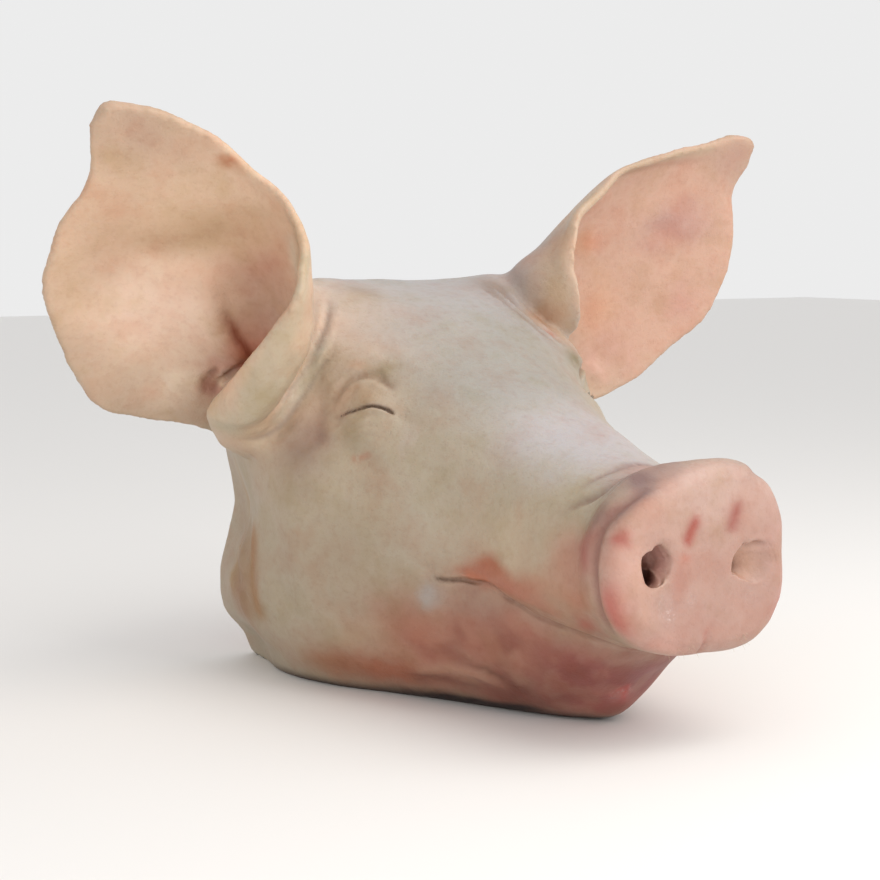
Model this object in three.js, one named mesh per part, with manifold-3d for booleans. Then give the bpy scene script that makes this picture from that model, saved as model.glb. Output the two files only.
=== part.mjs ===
// A pig's head as a butcher sells it: shaved, cut from the neck just behind the ears, resting on its jaw.
// One solid holds the skull, cheeks, lower jaw, snout disc and both ears.
// Units are millimetres. +Z is up, the snout points to -Y and the pig's own left side is +X.
// The origin lies on the flat under the jaw, on the middle line of the head.
import * as THREE from "three";
import Module from "manifold-3d";
import { mergeVertices } from "three/addons/utils/BufferGeometryUtils.js";

const wasm = await Module();
wasm.setup();

// The face and neck, as sections across the head from the neck cut to the snout disc.
// forward: distance along -Y. top, bottom: heights on the middle line. halfWidth: at the widest height, widestAt.
// crown, keel: superellipse powers of the upper and lower half, 2 for an ellipse and less for a narrow ridge.
// lean: how far the section slants back for each millimetre of height above widestAt.
const stations = [
  { forward: -98, top: 187, bottom: -12, halfWidth: 84, widestAt: 46, crown: 3.0, keel: 2.6, lean: -0.03 },
  { forward: -80, top: 189, bottom: -16, halfWidth: 88, widestAt: 50, crown: 3.0, keel: 2.7, lean: -0.02 },
  { forward: -50, top: 189, bottom: -18, halfWidth: 93, widestAt: 58, crown: 2.7, keel: 2.7, lean: 0 },
  { forward: -10, top: 179, bottom: -15, halfWidth: 91, widestAt: 66, crown: 2.4, keel: 2.5, lean: 0 },
  { forward: 30, top: 157, bottom: -9, halfWidth: 75, widestAt: 66, crown: 2.3, keel: 2.3, lean: 0 },
  { forward: 75, top: 134, bottom: -4, halfWidth: 56, widestAt: 66, crown: 2.3, keel: 2.1, lean: 0 },
  { forward: 106, top: 122, bottom: 2, halfWidth: 48, widestAt: 66, crown: 2.4, keel: 1.9, lean: 0 },
  { forward: 126, top: 116, bottom: 12, halfWidth: 45, widestAt: 68, crown: 2.4, keel: 1.7, lean: 0.02 },
  { forward: 138, top: 114, bottom: 26, halfWidth: 43, widestAt: 70, crown: 2.4, keel: 1.8, lean: 0.03 },
  { forward: 149, top: 114, bottom: 39, halfWidth: 42, widestAt: 74, crown: 2.3, keel: 2.2, lean: 0.04 },
  { forward: 160, top: 119, bottom: 40, halfWidth: 45, widestAt: 78, crown: 2.3, keel: 2.3, lean: 0.05 },
  { forward: 171, top: 121, bottom: 40, halfWidth: 47, widestAt: 78, crown: 2.3, keel: 2.3, lean: 0.05 },
];
const ringSpacing = 6.5;
const pointsAround = 52;

// Both ends close in rings that shrink towards the section's middle and stand out by so many millimetres.
const neckCut = [
  { scale: 0.95, out: 1 },
  { scale: 0.7, out: 1 },
  { scale: 0.35, out: -2 },
];
const snoutFace = [
  { scale: 0.95, out: 4.5 },
  { scale: 0.84, out: 7 },
  { scale: 0.62, out: 6.5 },
  { scale: 0.4, out: 5.5 },
  { scale: 0.2, out: 5 },
];

// Swellings and hollows on the right side, mirrored to the left. at and reach are [side, forward, up].
const swellings = [
  { name: "brow", at: [60, 6, 156], reach: [26, 26, 14], lift: 4 },
  { name: "eye socket", at: [70, 18, 132], reach: [24, 24, 20], lift: -7 },
  { name: "eyeball", at: [66, 19, 132], reach: [16, 15, 12], lift: 8 },
  { name: "cheekbone", at: [84, -6, 100], reach: [30, 34, 20], lift: 4 },
  { name: "nape", at: [82, -98, 80], reach: [30, 26, 24], lift: -7 },
  { name: "ear base", at: [80, -54, 146], reach: [36, 33, 34], lift: 17 },
  { name: "skin between poll and ear", at: [54, -48, 180], reach: [20, 26, 16], lift: 12 },
  { name: "snout side", at: [50, 70, 92], reach: [20, 40, 16], lift: -4 },
  { name: "upper lip", at: [48, 100, 58], reach: [20, 40, 12], lift: 4 },
];

// The ears, each a curved sheet. Its middle line runs from the root to the tip, and its hollow side faces opening.
// Points and directions are [outward, forward, up]. In an outline, along runs from 0 at the root to 1 at the tip,
// outer and inner are the half widths on either side of the middle line, measured along the skin, and the curls say
// how far each half turns towards the opening, in degrees. The inner curl grows from the middle line to the rim as the
// power tightening of the way across: at 1 the sheet rolls into a round tube, and above 1 only its rim rolls in.
const ears = [
  {
    name: "right",
    side: -1,
    line: [[65, -60, 129], [94, -57, 146], [128, -41, 185], [154, -21, 227], [180, 0, 266]],
    openingAtRoot: [0.66, 0.5, -0.5],
    openingAtTip: [0.15, 0.85, -0.5],
    outline: [
      { along: 0, outer: 14, inner: 78, outerCurl: 60, innerCurl: 300, tightening: 1 },
      { along: 0.15, outer: 38, inner: 98, outerCurl: 45, innerCurl: 300, tightening: 1.2 },
      { along: 0.27, outer: 59, inner: 116, outerCurl: 35, innerCurl: 275, tightening: 1.6 },
      { along: 0.36, outer: 65, inner: 119, outerCurl: 30, innerCurl: 250, tightening: 2 },
      { along: 0.47, outer: 61, inner: 110, outerCurl: 25, innerCurl: 194, tightening: 2.2 },
      { along: 0.62, outer: 56, inner: 86, outerCurl: 18, innerCurl: 102, tightening: 2.2 },
      { along: 0.8, outer: 27, inner: 46, outerCurl: 10, innerCurl: 48, tightening: 2.2 },
      { along: 0.9, outer: 15, inner: 28, outerCurl: 0, innerCurl: 30, tightening: 2.2 },
      { along: 0.95, outer: 14, inner: 19, outerCurl: -5, innerCurl: 20, tightening: 2.2 },
      { along: 0.98, outer: 12, inner: 12, outerCurl: -10, innerCurl: 15, tightening: 2.2 },
      { along: 1, outer: 3, inner: 3, outerCurl: -10, innerCurl: 15, tightening: 2.2 },
    ],
  },
  {
    name: "left",
    side: 1,
    line: [[66, -67, 125], [92, -61, 149], [126, -49, 188], [161, -35, 226], [195, -20, 260]],
    openingAtRoot: [0.2, 0.97, 0],
    openingAtTip: [-0.05, 0.9, -0.35],
    outline: [
      { along: 0, outer: 14, inner: 66, outerCurl: 60, innerCurl: 250, tightening: 2 },
      { along: 0.15, outer: 30, inner: 94, outerCurl: 45, innerCurl: 225, tightening: 2.2 },
      { along: 0.27, outer: 43, inner: 102, outerCurl: 35, innerCurl: 172, tightening: 2.2 },
      { along: 0.45, outer: 54, inner: 94, outerCurl: 25, innerCurl: 112, tightening: 2.2 },
      { along: 0.62, outer: 57, inner: 70, outerCurl: 18, innerCurl: 72, tightening: 2.2 },
      { along: 0.8, outer: 35, inner: 39, outerCurl: 10, innerCurl: 45, tightening: 2.2 },
      { along: 0.9, outer: 18, inner: 22, outerCurl: 0, innerCurl: 30, tightening: 2.2 },
      { along: 0.95, outer: 13, inner: 15, outerCurl: -5, innerCurl: 20, tightening: 2.2 },
      { along: 0.98, outer: 10, inner: 11, outerCurl: -10, innerCurl: 15, tightening: 2.2 },
      { along: 1, outer: 3, inner: 3, outerCurl: -10, innerCurl: 15, tightening: 2.2 },
    ],
  },
];
// atRoot is added at the root and fades over rootReach, a share of the way along.
const earThickness = { middle: 6, edge: 3.4, atRoot: 10, rootReach: 0.12 };
// crowding below 1 sets the columns closer together near the rims, and tipCrowding above 1 the rows near the tip.
// Each column is reached in fine short steps.
const earSteps = { along: 26, across: 22, crowding: 0.75, tipCrowding: 1.4, fine: 8 };

// Each nostril is an egg-shaped hollow in the disc. splay and dive turn it outwards and downwards, in radians.
const nostril = { side: 23, up: 77, width: 7, depth: 24, height: 9, splay: 0.25, dive: -0.15 };

// The mouth line as [forward, up]. The lips part by gape and the slit goes depth into the head; proud is how far the
// cutting wedge stands outside the skin, and fade is the share of the line over which it opens at the corner.
const mouth = {
  line: [[64, 61], [84, 62], [105, 57], [121, 53], [135, 48], [148, 42]],
  gape: 3,
  cornerGape: 0.3,
  depth: 11,
  cornerDepth: 1,
  proud: 8,
  flare: 1.4,
  fade: 0.17,
  steps: 40,
};

// What lies below the table top is cut away, so that the jaw has a flat to rest on.
const tableCut = { size: 600, height: 60 };

// A smooth function of t through the rows of a table; key names the column that t runs along.
function smoothTable(rows, key) {
  const columns = Object.keys(rows[0]).filter((column) => typeof rows[0][column] === "number");
  const places = key ? rows.map((row) => row[key]) : rows.map((_, index) => index);
  const values = rows.flatMap((row) => columns.map((column) => row[column]));
  const curve = new THREE.CubicInterpolant(places, values, columns.length);
  return (t) => {
    const found = curve.evaluate(t);
    return Object.fromEntries(columns.map((column, index) => [column, found[index]]));
  };
}

const sectionAt = smoothTable(stations);

// A point from [side, forward, up].
function place(side, forward, up) {
  return new THREE.Vector3(side, -forward, up);
}

function sectionPoint(t, angle) {
  const section = sectionAt(t);
  const across = Math.cos(angle);
  const rise = Math.sin(angle);
  const power = 2 / (rise >= 0 ? section.crown : section.keel);
  const reach = rise >= 0 ? section.top - section.widestAt : section.widestAt - section.bottom;
  const height = reach * Math.sign(rise) * Math.abs(rise) ** power;
  const side = section.halfWidth * Math.sign(across) * Math.abs(across) ** power;
  return place(side, section.forward - section.lean * height, section.widestAt + height);
}

// The outward direction at a point of the bare sections, from two short steps along the skin.
function outwardAt(t, angle) {
  const step = 0.02;
  const last = stations.length - 1;
  const along = sectionPoint(Math.min(t + step, last), angle).sub(sectionPoint(Math.max(t - step, 0), angle));
  const around = sectionPoint(t, angle + step).sub(sectionPoint(t, angle - step));
  return around.cross(along).normalize();
}

// How far the named swellings lift the skin at a point.
function liftAt(point) {
  let lift = 0;
  for (const { at, reach, lift: height } of swellings) {
    const away = [Math.abs(point.x) - at[0], -point.y - at[1], point.z - at[2]];
    const distance = away.reduce((sum, value, index) => sum + (value / reach[index]) ** 2, 0);
    lift += height * Math.exp(-distance);
  }
  return lift;
}

function ringAt(t) {
  return Array.from({ length: pointsAround }, (_, index) => {
    const angle = (2 * Math.PI * index) / pointsAround;
    const point = sectionPoint(t, angle);
    return point.addScaledVector(outwardAt(t, angle), liftAt(point));
  });
}

function middleOf(ring) {
  return ring.reduce((sum, point) => sum.add(point), new THREE.Vector3()).divideScalar(ring.length);
}

// The rings that close an end, from the rim inwards. sign is +1 at the snout and -1 at the neck.
function endRings(rim, rows, sign) {
  const middle = middleOf(rim);
  return rows.map(({ scale, out }) =>
    rim.map((point) => point.clone().sub(middle).multiplyScalar(scale).add(middle).add(place(0, sign * out, 0))),
  );
}

// A closed body from rings of points, its two ends closed by a fan.
function bodyFromRings(rings) {
  const around = rings[0].length;
  const points = rings.flat();
  const faces = [];
  const corner = (ring, index) => ring * around + (index % around);
  for (let ring = 0; ring + 1 < rings.length; ring++) {
    for (let index = 0; index < around; index++) {
      const [a, b] = [corner(ring, index), corner(ring, index + 1)];
      const [c, d] = [corner(ring + 1, index), corner(ring + 1, index + 1)];
      faces.push(a, b, d, a, d, c);
    }
  }
  for (const [ring, flip] of [[0, true], [rings.length - 1, false]]) {
    const hub = points.length;
    points.push(middleOf(rings[ring]));
    for (let index = 0; index < around; index++) {
      const [a, b] = [corner(ring, index), corner(ring, index + 1)];
      faces.push(...(flip ? [hub, b, a] : [hub, a, b]));
    }
  }
  return solid(points, faces);
}

// A manifold-3d solid from points and triangles, turned to face outwards.
function solid(points, faces) {
  const made = manifoldOf(points, faces);
  if (made.volume() > 0) return made;
  const turned = faces.slice();
  for (let index = 0; index < turned.length; index += 3) {
    [turned[index], turned[index + 1]] = [turned[index + 1], turned[index]];
  }
  return manifoldOf(points, turned);
}

function manifoldOf(points, faces) {
  const vertProperties = new Float32Array(points.flatMap((point) => [point.x, point.y, point.z]));
  return new wasm.Manifold(new wasm.Mesh({ numProp: 3, vertProperties, triVerts: new Uint32Array(faces) }));
}

function solidFromGeometry(geometry) {
  geometry.deleteAttribute("normal");
  geometry.deleteAttribute("uv");
  const merged = mergeVertices(geometry, 1e-4);
  const points = [];
  for (let index = 0; index < merged.attributes.position.count; index++) {
    points.push(new THREE.Vector3().fromBufferAttribute(merged.attributes.position, index));
  }
  return solid(points, Array.from(merged.index.array));
}

function headBody() {
  const rings = [];
  for (let index = 0; index + 1 < stations.length; index++) {
    const gap = stations[index + 1].forward - stations[index].forward;
    const parts = Math.ceil(gap / ringSpacing);
    for (let part = 0; part < parts; part++) rings.push(ringAt(index + part / parts));
  }
  rings.push(ringAt(stations.length - 1));
  const neck = endRings(rings[0], neckCut, -1).reverse();
  const snout = endRings(rings[rings.length - 1], snoutFace, 1);
  return bodyFromRings([...neck, ...rings, ...snout]);
}

// The two faces of an ear as grids of points, rows from root to tip and columns from the inner rim to the outer rim.
function earFaces(ear) {
  const turn = ([outward, forward, up]) => place(ear.side * outward, forward, up);
  const line = new THREE.CatmullRomCurve3(ear.line.map(turn));
  const outlineAt = smoothTable(ear.outline, "along");
  const faces = { hollow: [], back: [] };
  for (let row = 0; row <= earSteps.along; row++) {
    const along = 1 - (1 - row / earSteps.along) ** earSteps.tipCrowding;
    const tangent = line.getTangentAt(along);
    const centre = line.getPointAt(along);
    const opening = turn(ear.openingAtRoot).lerp(turn(ear.openingAtTip), along);
    opening.addScaledVector(tangent, -opening.dot(tangent)).normalize();
    const outward = opening.clone().cross(tangent).multiplyScalar(-ear.side);
    const columns = sectionAcross(outlineAt(along));
    const extra = earThickness.atRoot * Math.exp(-along / earThickness.rootReach);
    const pick = (sign) =>
      columns.map(({ x, y, nx, ny, rim }) => {
        const half = (earThickness.edge + (earThickness.middle - earThickness.edge) * rim + extra * rim) / 2;
        return centre
          .clone()
          .addScaledVector(outward, x + sign * half * nx)
          .addScaledVector(opening, y + sign * half * ny);
      });
    faces.hollow.push(pick(1));
    faces.back.push(pick(-1));
  }
  return faces;
}

// One section across an ear: places in its own plane, x outwards and y towards the opening, with the sheet's normal.
// rim is 1 in the middle of the sheet and 0 at its two edges.
function sectionAcross(outline) {
  const half = earSteps.across / 2;
  const walk = (length, curl, tightening, direction) => {
    const places = [];
    let [x, y] = [0, 0];
    const headingAt = (share) => THREE.MathUtils.degToRad(curl) * share ** tightening;
    for (let column = 1; column <= half; column++) {
      const from = ((column - 1) / half) ** earSteps.crowding;
      const to = (column / half) ** earSteps.crowding;
      for (let step = 0; step < earSteps.fine; step++) {
        const heading = headingAt(from + ((to - from) * (step + 0.5)) / earSteps.fine);
        x += (direction * Math.cos(heading) * length * (to - from)) / earSteps.fine;
        y += (Math.sin(heading) * length * (to - from)) / earSteps.fine;
      }
      const turned = headingAt(to);
      places.push({ x, y, nx: -direction * Math.sin(turned), ny: Math.cos(turned), rim: 1 - to ** 4 });
    }
    return places;
  };
  const inner = walk(outline.inner, outline.innerCurl, outline.tightening, -1).reverse();
  const outer = walk(outline.outer, outline.outerCurl, 1, 1);
  return [...inner, { x: 0, y: 0, nx: 0, ny: 1, rim: 1 }, ...outer];
}

function earBody(ear) {
  const { hollow, back } = earFaces(ear);
  // Each ring goes across the hollow side and comes home across the back, so the two ends close in strips.
  const rings = hollow.map((row, index) => [...row, ...back[index].slice().reverse()]);
  const around = rings[0].length;
  const points = rings.flat();
  const faces = [];
  for (let ring = 0; ring + 1 < rings.length; ring++) {
    for (let index = 0; index < around; index++) {
      const next = (index + 1) % around;
      const [a, b] = [ring * around + index, ring * around + next];
      const [c, d] = [a + around, b + around];
      faces.push(a, b, d, a, d, c);
    }
  }
  for (const [start, flip] of [[0, true], [(rings.length - 1) * around, false]]) {
    for (let index = 0; index + 1 < around / 2; index++) {
      const [a, b] = [start + index, start + index + 1];
      const [c, d] = [start + around - 1 - index, start + around - 2 - index];
      faces.push(...(flip ? [a, d, b, a, c, d] : [a, b, d, a, d, c]));
    }
  }
  return solid(points, faces);
}

function nostrilBody(side) {
  const shape = new THREE.SphereGeometry(1, 16, 12);
  shape.scale(nostril.width, nostril.depth, nostril.height);
  shape.rotateX(nostril.dive);
  shape.rotateZ(side * nostril.splay);
  const face = stations[stations.length - 1].forward;
  shape.translate(side * nostril.side, -face, nostril.up);
  return solidFromGeometry(shape);
}

// A wedge along the lips on both sides, its edge inside the head, that opens the mouth line.
function mouthBody() {
  const lips = new THREE.SplineCurve(mouth.line.map(([forward, up]) => new THREE.Vector2(forward, up)));
  const half = [];
  for (let step = 0; step <= mouth.steps; step++) {
    const share = step / mouth.steps;
    const { x: forward, y: up } = lips.getPointAt(share);
    const open = Math.min(1, share / mouth.fade);
    const gape = mouth.cornerGape + mouth.gape * open;
    const depth = mouth.cornerDepth + mouth.depth * open;
    half.push({ side: lowerSideAt(forward, up), forward, up, gape: gape * mouth.flare, depth });
  }
  const rings = (sign) =>
    half.map(({ side, forward, up, gape, depth }) => [
      place(sign * (side + mouth.proud), forward, up + gape),
      place(sign * (side + mouth.proud), forward, up - gape),
      place(sign * (side - depth), forward, up),
    ]);
  return bodyFromRings(rings(1)).add(bodyFromRings(rings(-1)));
}

// How far out the skin lies at a place in the lower half of the bare sections.
function lowerSideAt(forward, up) {
  const tStep = 0.01;
  let t = 0;
  while (t + tStep < stations.length - 1 && sectionAt(t).forward < forward) t += tStep;
  const section = sectionAt(t);
  const drop = (section.widestAt - up) / (section.widestAt - section.bottom);
  return section.halfWidth * (1 - THREE.MathUtils.clamp(drop, 0, 1) ** section.keel) ** (1 / section.keel);
}

function tableBody() {
  const slab = new THREE.BoxGeometry(tableCut.size, tableCut.size, tableCut.height);
  slab.translate(0, 0, -tableCut.height / 2);
  return solidFromGeometry(slab);
}

function wholeHead() {
  let head = headBody();
  for (const ear of ears) head = head.add(earBody(ear));
  for (const side of [-1, 1]) head = head.subtract(nostrilBody(side));
  head = head.subtract(mouthBody()).subtract(tableBody());
  const bodies = head.decompose().sort((a, b) => b.volume() - a.volume());
  return bodies[0];
}

function geometryOf(made) {
  const { vertProperties, triVerts, numProp } = made.getMesh();
  const positions = new Float32Array((vertProperties.length / numProp) * 3);
  for (let index = 0; index < positions.length / 3; index++) {
    positions.set(vertProperties.subarray(index * numProp, index * numProp + 3), index * 3);
  }
  const geometry = new THREE.BufferGeometry();
  geometry.setAttribute("position", new THREE.BufferAttribute(positions, 3));
  geometry.setIndex(new THREE.BufferAttribute(triVerts, 1));
  geometry.computeVertexNormals();
  return geometry;
}

const skin = new THREE.MeshStandardMaterial({ color: "#c3ab95", roughness: 0.5, metalness: 0 });
const head = new THREE.Mesh(geometryOf(wholeHead()), skin);
head.name = "head";

const pigHead = new THREE.Group();
pigHead.add(head);

export default pigHead;
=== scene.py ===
# %% [markdown]
# A whole pig's head rests on its lower jaw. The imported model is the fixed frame: one solid that has the true size and
# the main forms. Everything below dresses that solid. It could be modelled again from nothing, but a skin grown from
# the solid itself can't drift away from it, so that way was chosen.

import math
import random

import bmesh
import bpy
import numpy as np
from mathutils import Matrix, Vector, noise


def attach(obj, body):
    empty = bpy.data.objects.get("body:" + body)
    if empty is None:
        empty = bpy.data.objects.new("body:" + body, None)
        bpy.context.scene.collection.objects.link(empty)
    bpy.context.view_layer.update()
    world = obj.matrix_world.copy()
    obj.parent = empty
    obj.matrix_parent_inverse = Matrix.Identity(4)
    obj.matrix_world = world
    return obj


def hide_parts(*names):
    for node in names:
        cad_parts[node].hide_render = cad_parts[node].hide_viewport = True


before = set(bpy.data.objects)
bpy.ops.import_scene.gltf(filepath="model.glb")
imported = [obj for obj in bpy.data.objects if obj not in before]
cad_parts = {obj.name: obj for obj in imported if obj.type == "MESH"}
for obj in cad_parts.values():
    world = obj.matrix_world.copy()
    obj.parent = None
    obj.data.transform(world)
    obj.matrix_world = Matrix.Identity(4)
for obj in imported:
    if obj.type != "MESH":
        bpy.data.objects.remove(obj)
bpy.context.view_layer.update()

# %% [markdown]
# Every place on the head is given in millimetres: to the pig's left, forward from the origin towards the snout, and up.
# Blender counts in metres, and the snout points to -Y, so one function turns one into the other.

# %% Places on the head
MILLIMETRE = 0.001
TO_BLENDER = np.array((1, -1, 1)) * MILLIMETRE


def spot(side, forward, up):
    """A place on the head as Blender sees it."""
    return Vector((side, -forward, up)) * MILLIMETRE


def mirrored(places):
    """The same places on the other side of the face."""
    return [(-side, forward, up) for side, forward, up in places]


# %% [markdown]
# The camera stands in front of the head, to its right and a little above the snout, as a buyer would look at it on a
# counter. A long lens from about a metre keeps the snout from swelling. The place is worked out from two angles and a
# distance, because those say more than three coordinates do.

# %% Camera
camera_target = spot(-14, 0, 115)
camera_azimuth = math.radians(-33)
camera_elevation = math.radians(6)
camera_distance = 0.95
sensor_width = 36
lens_in_pixels = 1990
frame_width = 880

towards_camera = Vector((
    math.sin(camera_azimuth) * math.cos(camera_elevation),
    -math.cos(camera_azimuth) * math.cos(camera_elevation),
    math.sin(camera_elevation),
))
camera = bpy.data.objects.new("camera", bpy.data.cameras.new("camera"))
bpy.context.scene.collection.objects.link(camera)
camera.data.sensor_width = sensor_width
camera.data.lens = sensor_width * lens_in_pixels / frame_width
camera.location = camera_target + towards_camera * camera_distance
camera.rotation_mode = "QUATERNION"
camera.rotation_quaternion = (-towards_camera).to_track_quat("-Z", "Y")
bpy.context.scene.camera = camera
print("camera at", [round(v, 3) for v in camera.location], "with a lens of", round(camera.data.lens, 1), "mm")


# %% [markdown]
# Colours are written as the hex values that a paint program shows. Shaders count in linear light, so one function
# turns them. Another small one adds a node with its settings and links, and every material is made with it.

# %% Colour and node helpers
def linear(colour):
    """A hex colour as linear light, with full alpha."""
    parts = [int(colour[i:i + 2], 16) / 255 for i in (1, 3, 5)]
    return [p / 12.92 if p <= 0.04045 else ((p + 0.055) / 1.055) ** 2.4 for p in parts] + [1]


def add_node(tree, kind, settings=None, **inputs):
    """Adds a node, sets its properties, and fills its sockets with values or links. A socket's blanks are underscores."""
    node = tree.nodes.new(kind)
    for name, value in (settings or {}).items():
        setattr(node, name, value)
    for name, value in inputs.items():
        socket = node.inputs[int(name[1:])] if name[0] == "_" else node.inputs[name.replace("_", " ")]
        if isinstance(value, bpy.types.NodeSocket):
            tree.links.new(value, socket)
        else:
            socket.default_value = value
    return node


def new_material(name):
    """An empty material with its node tree."""
    material = bpy.data.materials.new(name)
    material.use_nodes = True
    material.node_tree.nodes.clear()
    return material, material.node_tree


# %% [markdown]
# The head stands on a plain pale floor in soft studio light. One big softbox hangs above the face, a weaker one stands
# in front and lights the cups of the ears, and the pale world lights the rest, so no shadow is hard. A very small lamp
# adds hardly any light, but wet skin mirrors it in sharp glints.

# %% Floor
floor_size = 8
floor_colour = "#e9e7e5"

floor_shape = bmesh.new()
bmesh.ops.create_grid(floor_shape, x_segments=1, y_segments=1, size=floor_size / 2)
floor_mesh = bpy.data.meshes.new("floor")
floor_shape.to_mesh(floor_mesh)
floor_shape.free()
floor = bpy.data.objects.new("floor", floor_mesh)
bpy.context.scene.collection.objects.link(floor)
painted_board, tree = new_material("matt_painted_board")
board = add_node(tree, "ShaderNodeBsdfPrincipled", Base_Color=linear(floor_colour), Roughness=0.7)
add_node(tree, "ShaderNodeOutputMaterial", Surface=board.outputs[0])
floor.data.materials.append(painted_board)

# %% Lights
softboxes = {
    "key": {"at": (330, 560, 800), "size": 0.75, "watts": 5.2, "colour": "#fffaf4"},
    "fill": {"at": (-250, 900, 350), "size": 0.9, "watts": 1.8, "colour": "#fffdfa"},
    "glint": {"at": (140, 1050, 420), "size": 0.09, "watts": 1.0, "colour": "#ffffff"},
}
world_strength = 0.84
light_target = spot(0, 30, 110)

for name, box in softboxes.items():
    light = bpy.data.objects.new(name, bpy.data.lights.new(name, "AREA"))
    bpy.context.scene.collection.objects.link(light)
    light.data.size = box["size"]
    light.data.energy = box["watts"]
    light.data.color = linear(box["colour"])[:3]
    light.location = spot(*box["at"])
    light.rotation_mode = "QUATERNION"
    light.rotation_quaternion = (light_target - light.location).to_track_quat("-Z", "Y")

world = bpy.data.worlds.new("studio")
bpy.context.scene.world = world
world.use_nodes = True
sky = world.node_tree.nodes["Background"]
sky.inputs["Color"].default_value = linear("#ffffff")
sky.inputs["Strength"].default_value = world_strength
bpy.context.scene.view_settings.view_transform = "Standard"
print(len(softboxes), "lamps, world at", world_strength)

# %% [markdown]
# The skin is one sheet over the whole head. The solid under it has flat facets, so a copy of it is merged and then
# remeshed with voxels, which gives even small squares everywhere, also over the curled ear roots, where they melt into
# the head. Subdividing the facets would keep their edges. Sculpting by hand tools can't be repeated from a script.

# %% Grow the skin from the solid
voxel = 0.0013


def merged_copy(node, name):
    """A new object with the node's shape, its loose triangles merged."""
    shape = bmesh.new()
    shape.from_mesh(node.data)
    bmesh.ops.remove_doubles(shape, verts=shape.verts, dist=0.00001)
    mesh = bpy.data.meshes.new(name)
    shape.to_mesh(mesh)
    shape.free()
    piece = bpy.data.objects.new(name, mesh)
    bpy.context.scene.collection.objects.link(piece)
    return piece


def modified(piece, kind, **settings):
    """Gives the piece one modifier and applies it."""
    change = piece.modifiers.new(kind.lower(), kind)
    for name, value in settings.items():
        setattr(change, name, value)
    view = bpy.context.evaluated_depsgraph_get()
    mesh = bpy.data.meshes.new_from_object(piece.evaluated_get(view))
    piece.modifiers.clear()
    piece.data = mesh


skin = merged_copy(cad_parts["head"], "skin")
modified(skin, "REMESH", mode="VOXEL", voxel_size=voxel)
print("skin has", len(skin.data.vertices), "points")

# %% [markdown]
# Moving points is what a sculptor's brush does. The brushes here work on arrays: all the places in millimetres, and
# the way the skin faces at each of them. Smoothing goes a step in and almost the same step out again, so that bumps
# go but the thin ears don't shrink. A line for a brush needs only a few places: it is rounded and laid on the skin.

# %% Brushes
class Clay:
    """The skin's points as arrays that brushes push about."""

    def __init__(self, mesh):
        self.mesh = mesh
        count = len(mesh.vertices)
        flat = np.empty(count * 3)
        mesh.vertices.foreach_get("co", flat)
        self.at = flat.reshape(count, 3) / TO_BLENDER
        pairs = np.empty(len(mesh.edges) * 2, int)
        mesh.edges.foreach_get("vertices", pairs)
        self.first, self.second = pairs.reshape(-1, 2).T
        self.neighbours = np.bincount(self.first, minlength=count) + np.bincount(self.second, minlength=count)
        self.face_out()

    def face_out(self):
        """Writes the places back and reads which way the skin faces."""
        self.mesh.vertices.foreach_set("co", (self.at * TO_BLENDER).ravel())
        self.mesh.update()
        flat = np.empty(len(self.at) * 3)
        self.mesh.vertex_normals.foreach_get("vector", flat)
        self.out = flat.reshape(-1, 3) * (1, -1, 1)

    def average(self, values):
        """Each point's mean over its neighbours."""
        size = len(self.at)
        sums = [np.bincount(self.first, v[self.second], size) + np.bincount(self.second, v[self.first], size)
                for v in values.T]
        return np.stack(sums, 1) / self.neighbours[:, None]

    def smooth(self, passes, share=1.0, melt=False):
        """Evens the skin out. share may say for each point how much it takes part. melt lets hollows and rims go."""
        share = np.broadcast_to(np.asarray(share, float), len(self.at))[:, None]
        for _ in range(passes):
            for push in (0.5,) if melt else (0.5, -0.52):
                self.at += share * push * (self.average(self.at) - self.at)
        self.face_out()

    def inside(self, place, reach):
        """How deep each point lies in a soft round zone, 1 at its middle."""
        away = (self.at - place) / reach
        return np.exp(-(away * away).sum(1))

    def around(self, route, slack):
        """The numbers of the points in a box round a route."""
        return np.flatnonzero(((self.at > route.min(0) - slack) & (self.at < route.max(0) + slack)).all(1))

    def lay(self, line):
        """The line rounded and laid on the skin, and the way the skin faces along it."""
        route = smooth_route(line)
        chosen = self.around(route, 8)
        places = self.at[chosen]
        laid = np.array([places[((places - point) ** 2).sum(1).argmin()] for point in route])
        for _ in range(12):
            laid[1:-1] = (laid[:-2] + 2 * laid[1:-1] + laid[2:]) / 4
        facing = np.array([self.out[chosen[((places - point) ** 2).sum(1).argmin()]] for point in laid])
        return laid, facing

    def near(self, line, reach):
        """Points near a line: their numbers, gaps to it, places along it from 0 to 1, how far they face as it does, and
        how far they lie to its left."""
        laid, line_out = self.lay(line)
        chosen = self.around(laid, reach)
        gap = np.full(len(chosen), 1e9)
        nearest = np.zeros(len(chosen), int)
        for number, point in enumerate(laid):
            away = ((self.at[chosen] - point) ** 2).sum(1)
            closer = away < gap
            gap[closer] = away[closer]
            nearest[closer] = number
        facing = np.clip((self.out[chosen] * line_out[nearest]).sum(1) * 2, 0, 1)
        leftwards = np.cross(np.gradient(laid, axis=0), line_out)
        leftwards /= np.linalg.norm(leftwards, axis=1)[:, None] + 1e-9
        left = ((self.at[chosen] - laid[nearest]) * leftwards[nearest]).sum(1)
        return chosen, np.sqrt(gap), nearest / (len(laid) - 1), facing, left


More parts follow.
